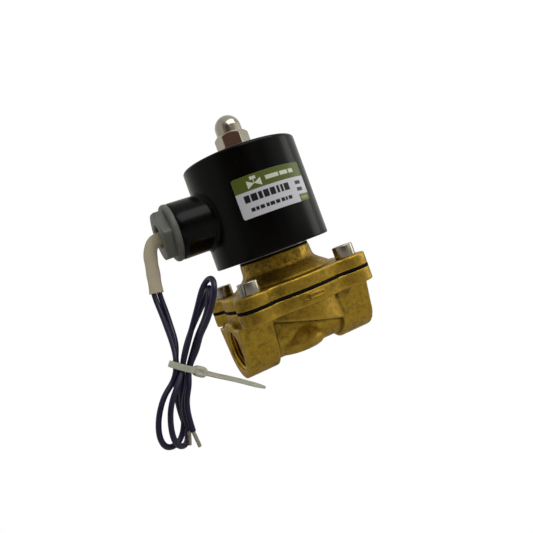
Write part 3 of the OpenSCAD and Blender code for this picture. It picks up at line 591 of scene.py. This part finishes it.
class VALVE_OT_leads(bpy.types.Operator):
    """The two leads, their tinned ends and the woven sleeving. The tie is made before them.

    Each lead is a tube on a natural cubic spline. A tinned end is a tube whose radius swells seven times round, with
    the swellings turning as it goes along: a twist of strands. The sleeving is a flat oval tube with a braided relief:
    strands run round it in two opposite screws, and the sign of the product of their sines says which one is on top."""

    bl_idname = "valve.leads"
    bl_label = "Leads and sleeving"

    def execute(self, context):
        sizes, colours = context.scene.valve_sizes, context.scene.valve_colours
        core_r, swell, strands, twist = 0.62, 0.1, 7, 2.4
        steps, angle = np.linspace(0, 1, 60)[:, None], around(56)[None]
        swelling = swell * np.abs(np.cos(strands / 2 * (angle + twist * steps)))
        radius = (core_r + swelling) * np.where(steps > 0.985, 0.75, 1.0)
        for name, route, end in (("lead_a", LEAD_A, TIP_A), ("lead_b", LEAD_B, TIP_B)):
            line = smooth_line([route[-1], tuple((np.array(route[-1]) + end) / 2), end], 60)
            tube = capped(sweep(line, (1, 0, 0), oval(radius, radius, angle)), line)
            piece(
                name + "_tinned", tube, ring_faces(62, 56), "tin", "coil", (name + "_tip",), 60)
        shared = [self.sleeving(sizes, colours)]
        shared += [bpy.data.objects[name] for name in ("tie_band", "tie_head", "tie_tail")]
        for name, route in (("lead_a", LEAD_A), ("lead_b", LEAD_B)):
            line = smooth_line(route, 420)
            lead = cord_curve(name + "_insulation", line, sizes.lead_d)
            lead.data.materials.append(finish("lead"))
            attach(lead, "coil")
            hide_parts(name)
        return {"FINISHED"}

    def sleeving(self, sizes, colours):
        """An oval tube with a braided relief outside, a plain one inside, and a ragged cut end."""
        steps, sides, strands, lay = 300, 120, 11, 3.2
        half_wide, half_thick, wall, ravel = 2.66, 1.47, 0.22, 0.8
        line = smooth_line(SLEEVE, steps)
        along, angle = np.linspace(0, line_length(line), steps)[:, None], around(sides)[None]
        one, two = strands * angle + along * lay, strands * angle - along * lay
        weave = np.where(np.sin(one) * np.sin(two) > 0, np.abs(np.cos(one)), np.abs(np.cos(two))) * 2 - 1
        flare = 0.1 * np.exp(-(along[-1, 0] - along) / ravel)
        wave = 0.07 * np.sin(along * 0.9 + 1.3 * np.sin(angle)) * np.cos(2 * angle)
        wide = half_wide + flare + wave + sizes.weave * weave
        thick = half_thick + flare + wave * 0.6 + sizes.weave * weave
        outer = sweep(line, (0, 0, 1), oval(wide, thick, angle))
        inner = sweep(line, (0, 0, 1), oval(wide - wall, thick - wall, angle))
        ragged = 0.22 * np.sin(17 * angle[0]) + 0.12 * np.sin(41 * angle[0] + 1)
        outer[-1] += ragged[:, None] * unit(line[-1] - line[-2])
        points = np.concatenate([outer, inner[::-1]])
        # Painted shade: the colour darkens in the weave's valleys, and the inside of the tube is painted at half
        # brightness.
        shade = np.clip(0.78 + 0.22 * weave, 0, 1) * (0.93 + 0.07 * np.sin(3 * angle + along * 7.3))
        ink_and_shade = np.ones(points.shape[:2] + (4,)) * np.array(tuple(colours.sleeve))
        ink_and_shade[..., :3] *= np.concatenate([shade, shade[::-1] * 0.5])[..., None]
        quads = ring_faces(2 * steps, sides, loop_rows=True)
        return piece("sleeving", points, quads, "sleeve", "coil", ("lead_sleeve",), 180, ink_and_shade)


class VALVE_OT_tie(bpy.types.Operator):
    """The nylon tie round the hank: a ribbed band, a head with a slot, and a ribbed tail that tapers to its tip.

    The band is a rounded flat section carried round a long oval. The head is a box whose corners are rounded by a
    power curve. The tail is a flat section carried along a spline, narrowed near its end."""

    bl_idname = "valve.tie"
    bl_label = "Cable tie"

    def execute(self, context):
        tilt = math.radians(37)
        along, up = np.array([math.cos(tilt), 0, -math.sin(tilt)]), np.array([math.sin(tilt), 0, math.cos(tilt)])
        across = np.array([0, 1.0, 0])
        centre = np.array(TIE_CENTRE) + [AXIS_X, 0, 0]
        long, short, half_t, half_w = 4.75, 3.15, 0.42, 1.17
        angle = around(360)
        ring = np.stack([long * power(np.cos(angle), 0.86), short * power(np.sin(angle), 0.86)], 1)
        line = centre + ring[:, :1] * along + ring[:, 1:] * across
        out = unit(ring[:, :1] / long**2 * along + ring[:, 1:] / short**2 * across)
        turn = around(24)
        thick, wide = half_t * power(np.cos(turn), 0.45), half_w * power(np.sin(turn), 0.3)
        rib = 0.025 * np.sin(angle * 42)[:, None] * (np.abs(wide) < 0.9)
        band = line[:, None] + (thick + rib)[..., None] * out[:, None] + wide[:, None] * up
        piece("tie_band", band, ring_faces(360, 24, loop_rows=True), "tie", "coil", ("cable_tie",), 50)
        u, v = np.linspace(-math.pi / 2, math.pi / 2, 49)[:, None], around(96)[None]
        x = 2.75 * power(np.cos(u), 0.6) * power(np.cos(v), 0.8)
        y = 2.1 * power(np.cos(u), 0.6) * power(np.sin(v), 0.7)
        z = 2.0 * power(np.sin(u), 0.6) * np.ones_like(v)
        slot = 0.45 * np.exp(-((x / 1.3) ** 4) - ((z / 0.75) ** 4)) * (y < 0)
        head = centre + along * 6.75 + x[..., None] * along + (y + slot)[..., None] * across + z[..., None] * up
        piece("tie_head", head, ring_faces(49, 96), "tie", "coil", (), 50)
        tail = smooth_line(TIE_TAIL, 260)
        s = np.linspace(0, 1, 260)[:, None]
        narrow = 0.38 + 0.62 * np.clip((1 - s) / 0.16, 0, 1) ** 0.6
        teeth = 0.03 * np.sin(s * 150) * (s > 0.04) * (np.abs(wide) < 0.8)
        flat = np.stack([thick * (1.1 - 0.35 * s) + teeth * (thick > 0), wide * narrow], -1)
        strap = capped(sweep(tail, (0, -0.5, 0.87), flat), tail)
        piece("tie_tail", strap, ring_faces(262, 24), "tie", "coil", (), 50)
        return {"FINISHED"}


def hollows(mesh):
    """Per vertex, how far the surface's own average over about 1.5 mm stands out along the normal, in millimetres:
    above nought in a crevice and below it on an edge. The average is a repeated mean over the edge neighbours."""
    count = len(mesh.vertices)
    ends, at, out = np.empty(len(mesh.edges) * 2, np.int32), np.empty(count * 3), np.empty(count * 3)
    mesh.edges.foreach_get("vertices", ends)
    mesh.vertices.foreach_get("co", at)
    mesh.vertices.foreach_get("normal", out)
    ends, at, out = ends.reshape(-1, 2), at.reshape(-1, 3) / MM, out.reshape(-1, 3)
    one, two = np.concatenate([ends[:, 0], ends[:, 1]]), np.concatenate([ends[:, 1], ends[:, 0]])
    near = np.bincount(one, minlength=count)[:, None]
    mean = at
    for _ in range(14):
        mean = np.stack([np.bincount(one, mean[two, k], count) for k in range(3)], 1) / near
    return ((mean - at) * out).sum(1)


def forge(name, node):
    """A forged piece: the CAD solid's surface, merged, laid on an even grid and smoothed, so that its edges and inner
    corners round off as on a hot stamping."""
    sizes = bpy.context.scene.valve_sizes
    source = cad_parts[node].data.copy()
    edit = bmesh.new()
    edit.from_mesh(source)
    bmesh.ops.remove_doubles(edit, verts=edit.verts, dist=1e-6)
    edit.to_mesh(source)
    edit.free()
    blank = bpy.data.objects.new(name + "_blank", source)
    bpy.context.scene.collection.objects.link(blank)
    grid = blank.modifiers.new("grid", "REMESH")
    grid.mode = "VOXEL"
    grid.voxel_size = sizes.voxel * MM * 1
    soft = blank.modifiers.new("soft", "SMOOTH")
    soft.factor = 0.5
    soft.iterations = sizes.forging_soft
    graph = bpy.context.evaluated_depsgraph_get()
    mesh = bpy.data.meshes.new_from_object(blank.evaluated_get(graph))
    bpy.data.objects.remove(blank)
    mesh.name = name
    # The concavity at each point drives the brass's painted crevice shade and painted edge highlights.
    layer = mesh.attributes.new("hollow", "FLOAT", "POINT")
    layer.data.foreach_set("value", hollows(mesh).astype(np.float32))
    return dress(name, mesh, "brass", "valve", (node,), 180, clean=False)


class VALVE_OT_forgings(bpy.types.Operator):
    """The brass body and bonnet, with the raised arrow on the flange and the rubber edge between the flanges."""

    bl_idname = "valve.forgings"
    bl_label = "Body and bonnet"

    def execute(self, context):
        forge("body_forging", "valve_body")
        forge("bonnet_forging", "bonnet")
        self.arrow()
        paint("rubber", "diaphragm", "coil_seal")
        return {"FINISHED"}

    def arrow(self):
        """A low relief bent round the flange's front: a rim where the distance to the arrow's outline is small, and a
        lower field inside it."""
        flange_r, middle = 28.0, span("valve_body")[1][2] - 2.55
        x = np.linspace(-7.2, 4.8, 241)[:, None]
        z = np.linspace(-2.3, 2.3, 93)[None]
        head = np.maximum(np.abs(z) - (x + 6.0) * 0.5, x + 2.8)
        tail = np.maximum(np.abs(z) - 0.9, np.maximum(-2.9 - x, x - 3.6))
        outside = np.minimum(head, tail)
        rim = np.clip(1.4 - np.abs(outside + 0.28) / 0.28, 0, 1)
        height = 0.30 * np.clip(-outside / 0.15, 0, 1) + 0.26 * rim
        height = np.where(outside > 0.12, -0.25, height)
        r = flange_r - 0.02 + height
        x, z = np.broadcast_arrays(x, z)
        points = np.stack([AXIS_X + x, -np.sqrt(r**2 - x**2), middle + z], -1)
        piece("flow_arrow", points, ring_faces(241, 93, loop_columns=False), "brass", "valve", (), 60)


class VALVE_OT_threads(bpy.types.Operator):
    """The pipe threads in both ports.

    The wall's radius follows a rounded saw along the axis, one tooth to a pitch, and the saw moves on by a pitch in
    each turn. It fades out in the chamfer at the mouth and at the thread's inner end."""

    bl_idname = "valve.threads"
    bl_label = "Port threads"

    def execute(self, context):
        sizes = context.scene.valve_sizes
        low, high = span("valve_body")
        wall, back, deep = 8.34, 8.6, 11.9
        depth, angle = np.linspace(0.15, deep, 200)[:, None], around(144)[None]
        phase = depth / sizes.thread_pitch + angle / TAU
        saw = np.clip((np.abs(2 * (phase - np.floor(phase)) - 1) - 0.12) / 0.76, 0, 1)
        fade = np.clip((depth - 0.6) / 1.1, 0, 1) * np.clip((deep - depth) / 1.0, 0, 1)
        inner = wall - sizes.thread_depth * saw * fade
        inner = np.where(depth < 0.7, wall + 0.3 * (0.7 - depth), inner)
        radius = np.concatenate([inner, np.full((1, 144), back - 0.05), np.full((1, 144), back + 0.02)])
        x = np.concatenate([np.broadcast_to(depth, inner.shape), np.full((1, 144), deep), np.full((1, 144), 0.15)])
        for name, mouth, sign in (("inlet_thread", high[0], -1), ("outlet_thread", low[0], 1)):
            points = np.stack([mouth + sign * x, radius * np.cos(angle), radius * np.sin(angle)], -1)
            piece(name, points, ring_faces(202, 144, loop_rows=True), "cut", "valve", (), 40)
        return {"FINISHED"}


class VALVE_OT_screws(bpy.types.Operator):
    """Socket head screws: a turned head with an eased edge, and a six-sided socket sunk in its top."""

    bl_idname = "valve.screws"
    bl_label = "Flange screws"

    def execute(self, context):
        low, high = span("bonnet_screws")
        bottom, seat, top = low[2], span("bonnet")[0][2] + 5, high[2]
        shank_r, head_r, key = 2.45, 4.25, 2.0
        sides = 96
        angle = around(sides)
        head = [(head_r - 0.12, seat + 0.02), (head_r, seat + 0.2), (head_r, top), (2.9, top)]
        outer = rounded([(shank_r, bottom), (shank_r, seat + 0.02)] + head, 0.38, 6)
        flat = key / np.maximum.reduce([np.abs(np.cos(angle - k * TAU / 6)) for k in range(3)])
        socket_r = np.stack([flat + 0.25, flat + 0.05, flat, flat, flat * 0.5, flat * 0])
        socket_z = top - np.array([0, 0.1, 0.3, 2.4, 2.5, 2.9])[:, None]
        r = np.concatenate([np.broadcast_to(outer[:, :1], (len(outer), sides)), socket_r])
        outer_z = np.broadcast_to(outer[:, 1:], (len(outer), sides))
        z = np.concatenate([outer_z, np.broadcast_to(socket_z, socket_r.shape)])
        one = np.stack([r * np.cos(angle), r * np.sin(angle), z], -1)
        points, quads = [], []
        for index, (sx, sy, turn) in enumerate(((-1, -1, 0.3), (1, -1, 0.9), (-1, 1, 0.1), (1, 1, 0.6))):
            c, s = math.cos(turn), math.sin(turn)
            spun = one @ np.array([[c, s, 0], [-s, c, 0], [0, 0, 1]])
            points.append(spun + [AXIS_X + sx * SCREW_X, sy * SCREW_Y, 0])
            quads.append(ring_faces(len(r), sides) + index * r.size)
        piece("screws", points, np.concatenate(quads), "nickel", "valve", ("bonnet_screws",), 40)
        return {"FINISHED"}


class VALVE_OT_nut_stack(bpy.types.Operator):
    """The acorn nut and its washers.

    The nut's radius is that of a hexagon with slightly rounded corners, cut by a chamfer cone, up to the dome's
    circle. The rings are turned profiles, and the spring washer's ends part by a saw cut and a small rise."""

    bl_idname = "valve.nut_stack"
    bl_label = "Nut and washers"

    def execute(self, context):
        low, high = span("acorn_nut")
        z0, hex_h, dome_r, across = low[2], 6.5, 5.7, 6.6
        shoulder = z0 + hex_h
        arc = np.linspace(0, math.pi / 2, 24)
        profile = np.concatenate([
            [(0, z0), (6.0, z0), (6.7, z0 + 0.02), (7.05, z0 + 0.2)],
            np.linspace((7.35, z0 + 0.42), (7.62, z0 + 0.75), 4),
            np.linspace((7.7, z0 + 1.0), (7.7, shoulder - 1.6), 14),
            np.linspace((7.62, shoulder - 1.25), (6.35, shoulder - 0.12), 12),
            [(6.1, shoulder), (dome_r + 0.08, shoulder + 0.02), (dome_r, shoulder + 0.18)],
            np.column_stack([dome_r * np.cos(arc), high[2] - dome_r + dome_r * np.sin(arc)]),
        ])
        flats = hexagon(across, 60, math.radians(39) + math.pi / 6, lambda r, z: z < shoulder + 0.01)
        points, quads = turned(profile, (AXIS_X, 0, 0), sides=288, radius=flats)
        piece("dome_nut", points, quads, "nickel", "valve", ("acorn_nut",), 26)
        self.washer("plain_washer", "flat_washer", 4.2, "zinc", 0, "nickel_plate")
        self.washer("split_washer", "spring_washer", 4.1, "spring", 0.03, "spring_steel")
        self.washer("foot_washer", "base_washer", 7.8, "zinc", 0, "stainless")
        return {"FINISHED"}

    def washer(self, name, node, inner, finish_name, rise, slot):
        """A ring with eased edges. With a rise, it is cut open and its ends part by that much."""
        low, high = span(node)
        outer, bottom, top = (high[1] - low[1]) / 2, low[2], high[2]
        seam = (inner, bottom + 0.3 * (top - bottom))
        section = rounded([seam, (inner, bottom), (outer, bottom), (outer, top), (inner, top), seam], 0.22, 4)[:-1]
        rows = len(section)
        if rise:
            angle = np.linspace(math.radians(5.5), math.radians(354.5), 150)
            r, z = section[:, :1], section[:, 1:]
            points = np.stack([AXIS_X + r * np.cos(angle), r * np.sin(angle), z + rise * (angle / TAU - 0.5)], -1)
            ends = [np.broadcast_to(points[:, i].mean(0), (rows, 1, 3)) for i in (0, -1)]
            points = np.concatenate([ends[0], points, ends[1]], 1)
            quads = ring_faces(rows, 152, loop_rows=True, loop_columns=False)
        else:
            points, quads = turned(section, (AXIS_X, 0, 0), sides=144)
            quads = ring_faces(rows, 144, loop_rows=True)
        piece(name, points, quads, finish_name, "valve", (node,), 40)


class VALVE_OT_coil(bpy.types.Operator):
    """The coil can with its outlet hub.

    The can is a turned profile with a rolled top edge. The hub is a tube along -X whose inner end follows the can:
    each point starts where its own height across meets the can's circle, with a small bead that flares on to it."""

    bl_idname = "valve.coil"
    bl_label = "Coil can and hub"

    def execute(self, context):
        top, r, wall, hole_r = SHELL_HIGH[2], SHELL_R, 1.6, 4.3
        edges = [(hole_r, top - 2), (hole_r, top), (r, top), (r, COIL_Z), (r - wall, COIL_Z), (r - wall, COIL_Z + 2.4)]
        points, quads = turned(rounded(edges, 1.3, 12), (AXIS_X, 0, 0), sides=256)
        piece("can", points, quads, "enamel", "coil", ("coil_shell",), 40)
        hub_r, bore_r, end = (HUB_HIGH[1] - HUB_LOW[1]) / 2, 9.42, HUB_END
        angle = around(192)[None]
        bead = np.array([(1.25, -0.1), (0.95, 0.12), (0.6, 0.32), (0.3, 0.62), (0.1, 0.98), (0, 1.4)])
        lip = [(hub_r - 0.1, end - 0.1), (hub_r - 0.35, end), (9.6, end), (bore_r, end - 0.3), (bore_r, end - 6)]
        lip = np.array(lip)
        flare = hub_r + bead[:, :1]
        on_can = np.sqrt(r**2 - np.minimum(np.abs(flare * np.cos(angle)), r - 0.1) ** 2)
        start = np.sqrt(r**2 - (hub_r * np.cos(angle)) ** 2)
        straight = start + (end - 0.35 - start) * np.linspace(0.25, 1, 6)[:, None]
        ones = np.ones_like(angle)
        radii = np.concatenate([flare * ones, np.full((6, 192), hub_r), lip[:, :1] * ones])
        reaches = np.concatenate([on_can + bead[:, 1:], straight, lip[:, 1:] * ones])
        points = np.stack([AXIS_X - reaches, radii * np.cos(angle), HUB_Z + radii * np.sin(angle)], -1)
        piece("outlet_hub", points, ring_faces(len(radii), 192), "enamel", "coil", ("conduit_hub",), 40)
        return {"FINISHED"}


class VALVE_OT_gland(bpy.types.Operator):
    """The grey gland: a turned flange with an eased edge, and a chamfered hexagon with a bell-mouthed hole."""

    bl_idname = "valve.gland"
    bl_label = "Gland"

    def execute(self, context):
        end, face, centre = HUB_END, HUB_END + 7, (AXIS_X, 0, HUB_Z)
        bore_r, flange_r, across = 4.7, 12.0, 9.5
        flange = np.concatenate([
            [(6.7, end - 8), (9.35, end - 8), (9.35, end + 0.02)],
            rounded([(9.4, end + 0.02), (flange_r, end + 0.02), (flange_r, end + 3), (6.7, end + 3)], 1.25, 8),
            [(6.7, end - 8)],
        ])
        points, quads = turned(flange, centre, "-x", 192)
        piece("gland_flange", points, quads, "grey", "coil", ("gland_body",), 45)
        arc = np.linspace(0, math.pi / 2, 8)
        profile = np.concatenate([
            [(6.5, end - 1), (6.5, end + 3.02), (9.6, end + 3.02), (11.4, end + 3.05)],
            np.linspace((11.6, end + 3.3), (11.6, face - 1.0), 8),
            np.linspace((11.4, face - 0.85), (9.7, face - 0.06), 8),
            [(9.3, face), (5.6, face)],
            np.column_stack([bore_r + 0.8 * (1 - np.sin(arc)), face - 0.8 * (1 - np.cos(arc))]),
            [(bore_r, end - 1), (6.5, end - 1)],
        ])
        flats = hexagon(across, 44, math.pi / 2, lambda r, x: r > 7)
        points, quads = turned(profile, centre, "-x", 288, flats)
        piece("gland_hexagon", points, quads, "grey", "coil", ("gland_nut",), 26)
        paint("rubber", "gland_grommet")
        return {"FINISHED"}


class VALVE_OT_label(bpy.types.Operator):
    """The printed label, bent round the can: rows narrow at the corners by a circle's arc.

    Each print colour is where the point's distance to a plain shape is below zero: a band, a field, a valve sign of two
    triangles under a box, bars in place of words, and a small block."""

    bl_idname = "valve.label"
    bl_label = "Label"

    def execute(self, context):
        corner = context.scene.valve_sizes.label_corner
        low, high = span("label")
        start, stop = math.radians(-35.5), math.radians(38)
        r = SHELL_R + 0.13
        width, height = (stop - start) * r, high[2] - low[2]
        u = np.linspace(-1, 1, 361)[:, None]
        v = np.linspace(-1, 1, 187)[None] * height / 2
        over = np.clip(np.abs(v) - (height / 2 - corner), 0, corner)
        half = width / 2 - corner + np.sqrt(np.clip(corner**2 - over**2, 0, None))
        x = u * half + width / 2
        y = np.broadcast_to(v + height / 2, x.shape)
        ink_and_shade = self.artwork(x, y, width, height)
        bend = start + x / r
        depth = np.where((np.abs(u) > 0.999) | (np.abs(v) > height / 2 - 0.001), SHELL_R - 0.02, r)
        points = np.stack([AXIS_X + depth * np.sin(bend), -depth * np.cos(bend), low[2] + y], -1)
        quads = ring_faces(361, 187, loop_columns=False)
        piece("label_film", points, quads, "label", "coil", ("label",), 180, ink_and_shade)
        return {"FINISHED"}

    def artwork(self, x, y, w, h):
        """Colours of the print at x along and y up the label. Bars are given by their ends, as shares of its size."""
        colours = bpy.context.scene.valve_colours
        green, dark, pale = tuple(colours.label_green), linear("#17171c"), linear("#dfe3cf")

        def bar(x0, x1, y0, y1):
            return np.maximum(np.abs(x - (x0 + x1) / 2) - (x1 - x0) / 2, np.abs(y - (y0 + y1) / 2) - (y1 - y0) / 2)

        mx, my = w * 0.27, h * 0.815
        low = my - 0.75
        triangles = np.maximum(np.abs(y - low) - np.abs(x - mx) * 0.55, np.abs(x - mx) - 2.9)
        sign = (triangles, bar(mx - 0.16, mx + 0.16, low, my + 1.0), bar(mx - 1.2, mx + 1.2, my + 0.85, my + 2.1))
        shapes = [(h * 0.63 - y, green), (bar(w * 0.80, w + 1, -1, h * 0.185), green)]
        shapes += [(shape, linear("#e6e8dc")) for shape in sign]
        words = (
            (pale, 0.76, 0.86, ((0.42, 0.60), (0.62, 0.74), (0.76, 0.84))),
            (dark, 0.365, 0.545, (
                (0.09, 0.16), (0.175, 0.255), (0.27, 0.32), (0.335, 0.405), (0.42, 0.49), (0.51, 0.545), (0.565, 0.60),
                (0.615, 0.69))),
            (dark, 0.135, 0.225, (
                (0.13, 0.18), (0.19, 0.23), (0.245, 0.30), (0.32, 0.36), (0.37, 0.43), (0.445, 0.50), (0.52, 0.57),
                (0.58, 0.61), (0.625, 0.68))),
            (dark, 0.44, 0.53, ((0.80, 0.90),)),
            (dark, 0.27, 0.36, ((0.80, 0.90),)),
            (linear("#a9bd6a"), 0.06, 0.13, [(0.83 + 0.022 * k, 0.842 + 0.022 * k) for k in range(6)]),
        )
        for colour, bottom, top, ends in words:
            shapes += [(bar(w * a, w * b, h * bottom, h * top), colour) for a, b in ends]
        ink_and_shade = np.ones(x.shape + (4,)) * np.array(tuple(colours.label_white))
        for distance, colour in shapes:
            cover = np.clip(0.5 - distance / 0.09, 0, 1)[..., None]
            ink_and_shade = ink_and_shade * (1 - cover) + np.array(colour) * cover
        return ink_and_shade


def paint(finish_name, *nodes):
    """Gives CAD nodes a finish and leaves their shapes."""
    for node in nodes:
        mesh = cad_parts[node].data
        mesh.materials.clear()
        mesh.materials.append(finish(finish_name))


class VALVE_OT_inner_parts(bpy.types.Operator):
    """Finishes of the pieces held inside, which keep their CAD shapes."""

    bl_idname = "valve.inner_parts"
    bl_label = "Inner parts"

    def execute(self, context):
        paint("cut", "pilot_insert")
        paint("steel", "support_washer", "armature_tube", "tube_collar")
        paint("iron", "plunger", "fixed_core", "flux_plate")
        paint("spring", "lift_spring", "return_spring")
        paint("bobbin", "coil_bobbin", "splice_sleeves")
        paint("resin", "coil_potting")
        paint("copper", "coil_winding")
        paint("tape", "winding_tape")
        paint("rubber", "plunger_seal", "tube_o_ring")
        return {"FINISHED"}


class VALVE_OT_stage(bpy.types.Operator):
    """The pale floor and the soft studio light.

    The room is lit by direction: a window at the camera's right, a pale sheet behind, a pale ceiling, and a warm dark
    patch where the camera stands. The camera itself sees plain white."""

    bl_idname = "valve.stage"
    bl_label = "Stage"

    def execute(self, context):
        scene = context.scene
        scene.view_settings.view_transform = "Standard"
        half, level = 3.0, -0.062
        mesh = bpy.data.meshes.new("floor")
        corners = [(x * half, y * half, level) for x, y in ((-1, -1), (1, -1), (1, 1), (-1, 1))]
        mesh.from_pydata(corners, [], [(0, 1, 2, 3)])
        floor = bpy.data.objects.new("floor", mesh)
        scene.collection.objects.link(floor)
        made, tree, shader, _ = material("Paper_Pale_Matt", linear("#c4c4c2"), 0.9)
        seen = add(tree, "ShaderNodeLightPath").outputs["Is Camera Ray"]
        glow = add(tree, "ShaderNodeEmission", {"Color": (1, 1, 1, 1), "Strength": 1.0})
        mixed = add(tree, "ShaderNodeMixShader", {0: seen, 1: shader, 2: glow})
        tree.links.new(mixed.outputs[0], next(n for n in tree.nodes if n.type == "OUTPUT_MATERIAL").inputs["Surface"])
        mesh.materials.append(made)
        camera = scene.camera.matrix_world
        right, up, back = (camera.col[i].to_3d() for i in range(3))
        self.room(scene, right, up, back)
        target = Vector((AXIS_X * MM, 0, 0.04))
        lamps = (
            ("key", 0.33 * up + 0.10 * right + 0.17 * back, 0.44, 0.22, 0.62),
            ("window", 0.40 * right + 0.04 * up - 0.10 * back, 0.16, 0.50, 0.34),
            ("low", -0.31 * up + 0.08 * right + 0.20 * back, 0.44, 0.20, 0.62),
        )
        for name, offset, wide, tall, power in lamps:
            data = bpy.data.lights.new(name, "AREA")
            data.shape = "RECTANGLE"
            data.size, data.size_y = wide, tall
            data.energy = power
            lamp = bpy.data.objects.new(name, data)
            lamp.location = target + offset
            lamp.rotation_mode = "QUATERNION"
            lamp.rotation_quaternion = offset.to_track_quat("Z", "Y")
            scene.collection.objects.link(lamp)
        return {"FINISHED"}

    def room(self, scene, right, up, back):
        """A world whose shade depends on the direction: each part is where the dot product with its axis is high."""
        world = bpy.data.worlds.new("Studio")
        scene.world = world
        world.use_nodes = True
        tree = world.node_tree
        tree.nodes.clear()
        way = add(tree, "ShaderNodeTexCoord").outputs["Generated"]
        colour = (0.085, 0.083, 0.078, 1)
        parts = (
            (back, 0.45, 0.8, (0.16, 0.157, 0.148, 1)),
            (-up, 0.35, 0.9, (0.50, 0.49, 0.46, 1)),
            (up, 0.35, 0.9, (0.50, 0.50, 0.48, 1)),
            (-right, 0.60, 0.80, (0.42, 0.42, 0.40, 1)),
            (-back, 0.2, 0.7, (0.62, 0.61, 0.57, 1)),
            (right, 0.62, 0.87, (0.70, 0.69, 0.65, 1)),
            (back, 0.90, 0.925, (0.10, 0.046, 0.036, 1)),
        )
        for axis, low, high, shade in parts:
            level = add(tree, "ShaderNodeVectorMath", {0: way, 1: tuple(axis)}, operation="DOT_PRODUCT")
            part = add(tree, "ShaderNodeMapRange", {"Value": level, "From Min": low, "From Max": high})
            colour = add(tree, "ShaderNodeMix", {0: part, 6: colour, 7: shade}, data_type="RGBA")
        seen = add(tree, "ShaderNodeLightPath").outputs["Is Camera Ray"]
        colour = add(tree, "ShaderNodeMix", {0: seen, 6: colour, 7: (1, 1, 1, 1)}, data_type="RGBA")
        glow = add(tree, "ShaderNodeBackground", {"Color": colour, "Strength": 1.0})
        add(tree, "ShaderNodeOutputWorld", {"Surface": glow})


# ---------------------------------------------------------------- panel and registration

OPERATORS = (
    VALVE_OT_camera,
    VALVE_OT_tie,
    VALVE_OT_leads,
    VALVE_OT_forgings,
    VALVE_OT_threads,
    VALVE_OT_screws,
    VALVE_OT_nut_stack,
    VALVE_OT_coil,
    VALVE_OT_gland,
    VALVE_OT_label,
    VALVE_OT_inner_parts,
    VALVE_OT_stage,
)


class VALVE_PT_panel(bpy.types.Panel):
    """Lists the sizes, the colours and the pieces."""

    bl_idname = "VALVE_PT_panel"
    bl_label = "Solenoid Valve"
    bl_space_type = "VIEW_3D"
    bl_region_type = "UI"
    bl_category = "Valve"

    def draw(self, context):
        for group in (context.scene.valve_sizes, context.scene.valve_colours):
            for key in group.bl_rna.properties.keys():
                if key not in ("rna_type", "name"):
                    self.layout.prop(group, key)
        for made in OPERATORS:
            self.layout.operator(made.bl_idname)


CLASSES = (ValveSizes, ValveColours, *OPERATORS, VALVE_PT_panel)


def register():
    for made in CLASSES:
        bpy.utils.register_class(made)
    bpy.types.Scene.valve_sizes = bpy.props.PointerProperty(type=ValveSizes)
    bpy.types.Scene.valve_colours = bpy.props.PointerProperty(type=ValveColours)


def unregister():
    del bpy.types.Scene.valve_colours
    del bpy.types.Scene.valve_sizes
    for made in reversed(CLASSES):
        bpy.utils.unregister_class(made)


def main():
    """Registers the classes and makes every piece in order."""
    register()
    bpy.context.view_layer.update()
    for made in OPERATORS:
        area, name = made.bl_idname.split(".")
        getattr(getattr(bpy.ops, area), name)()


if __name__ == "__main__":
    main()
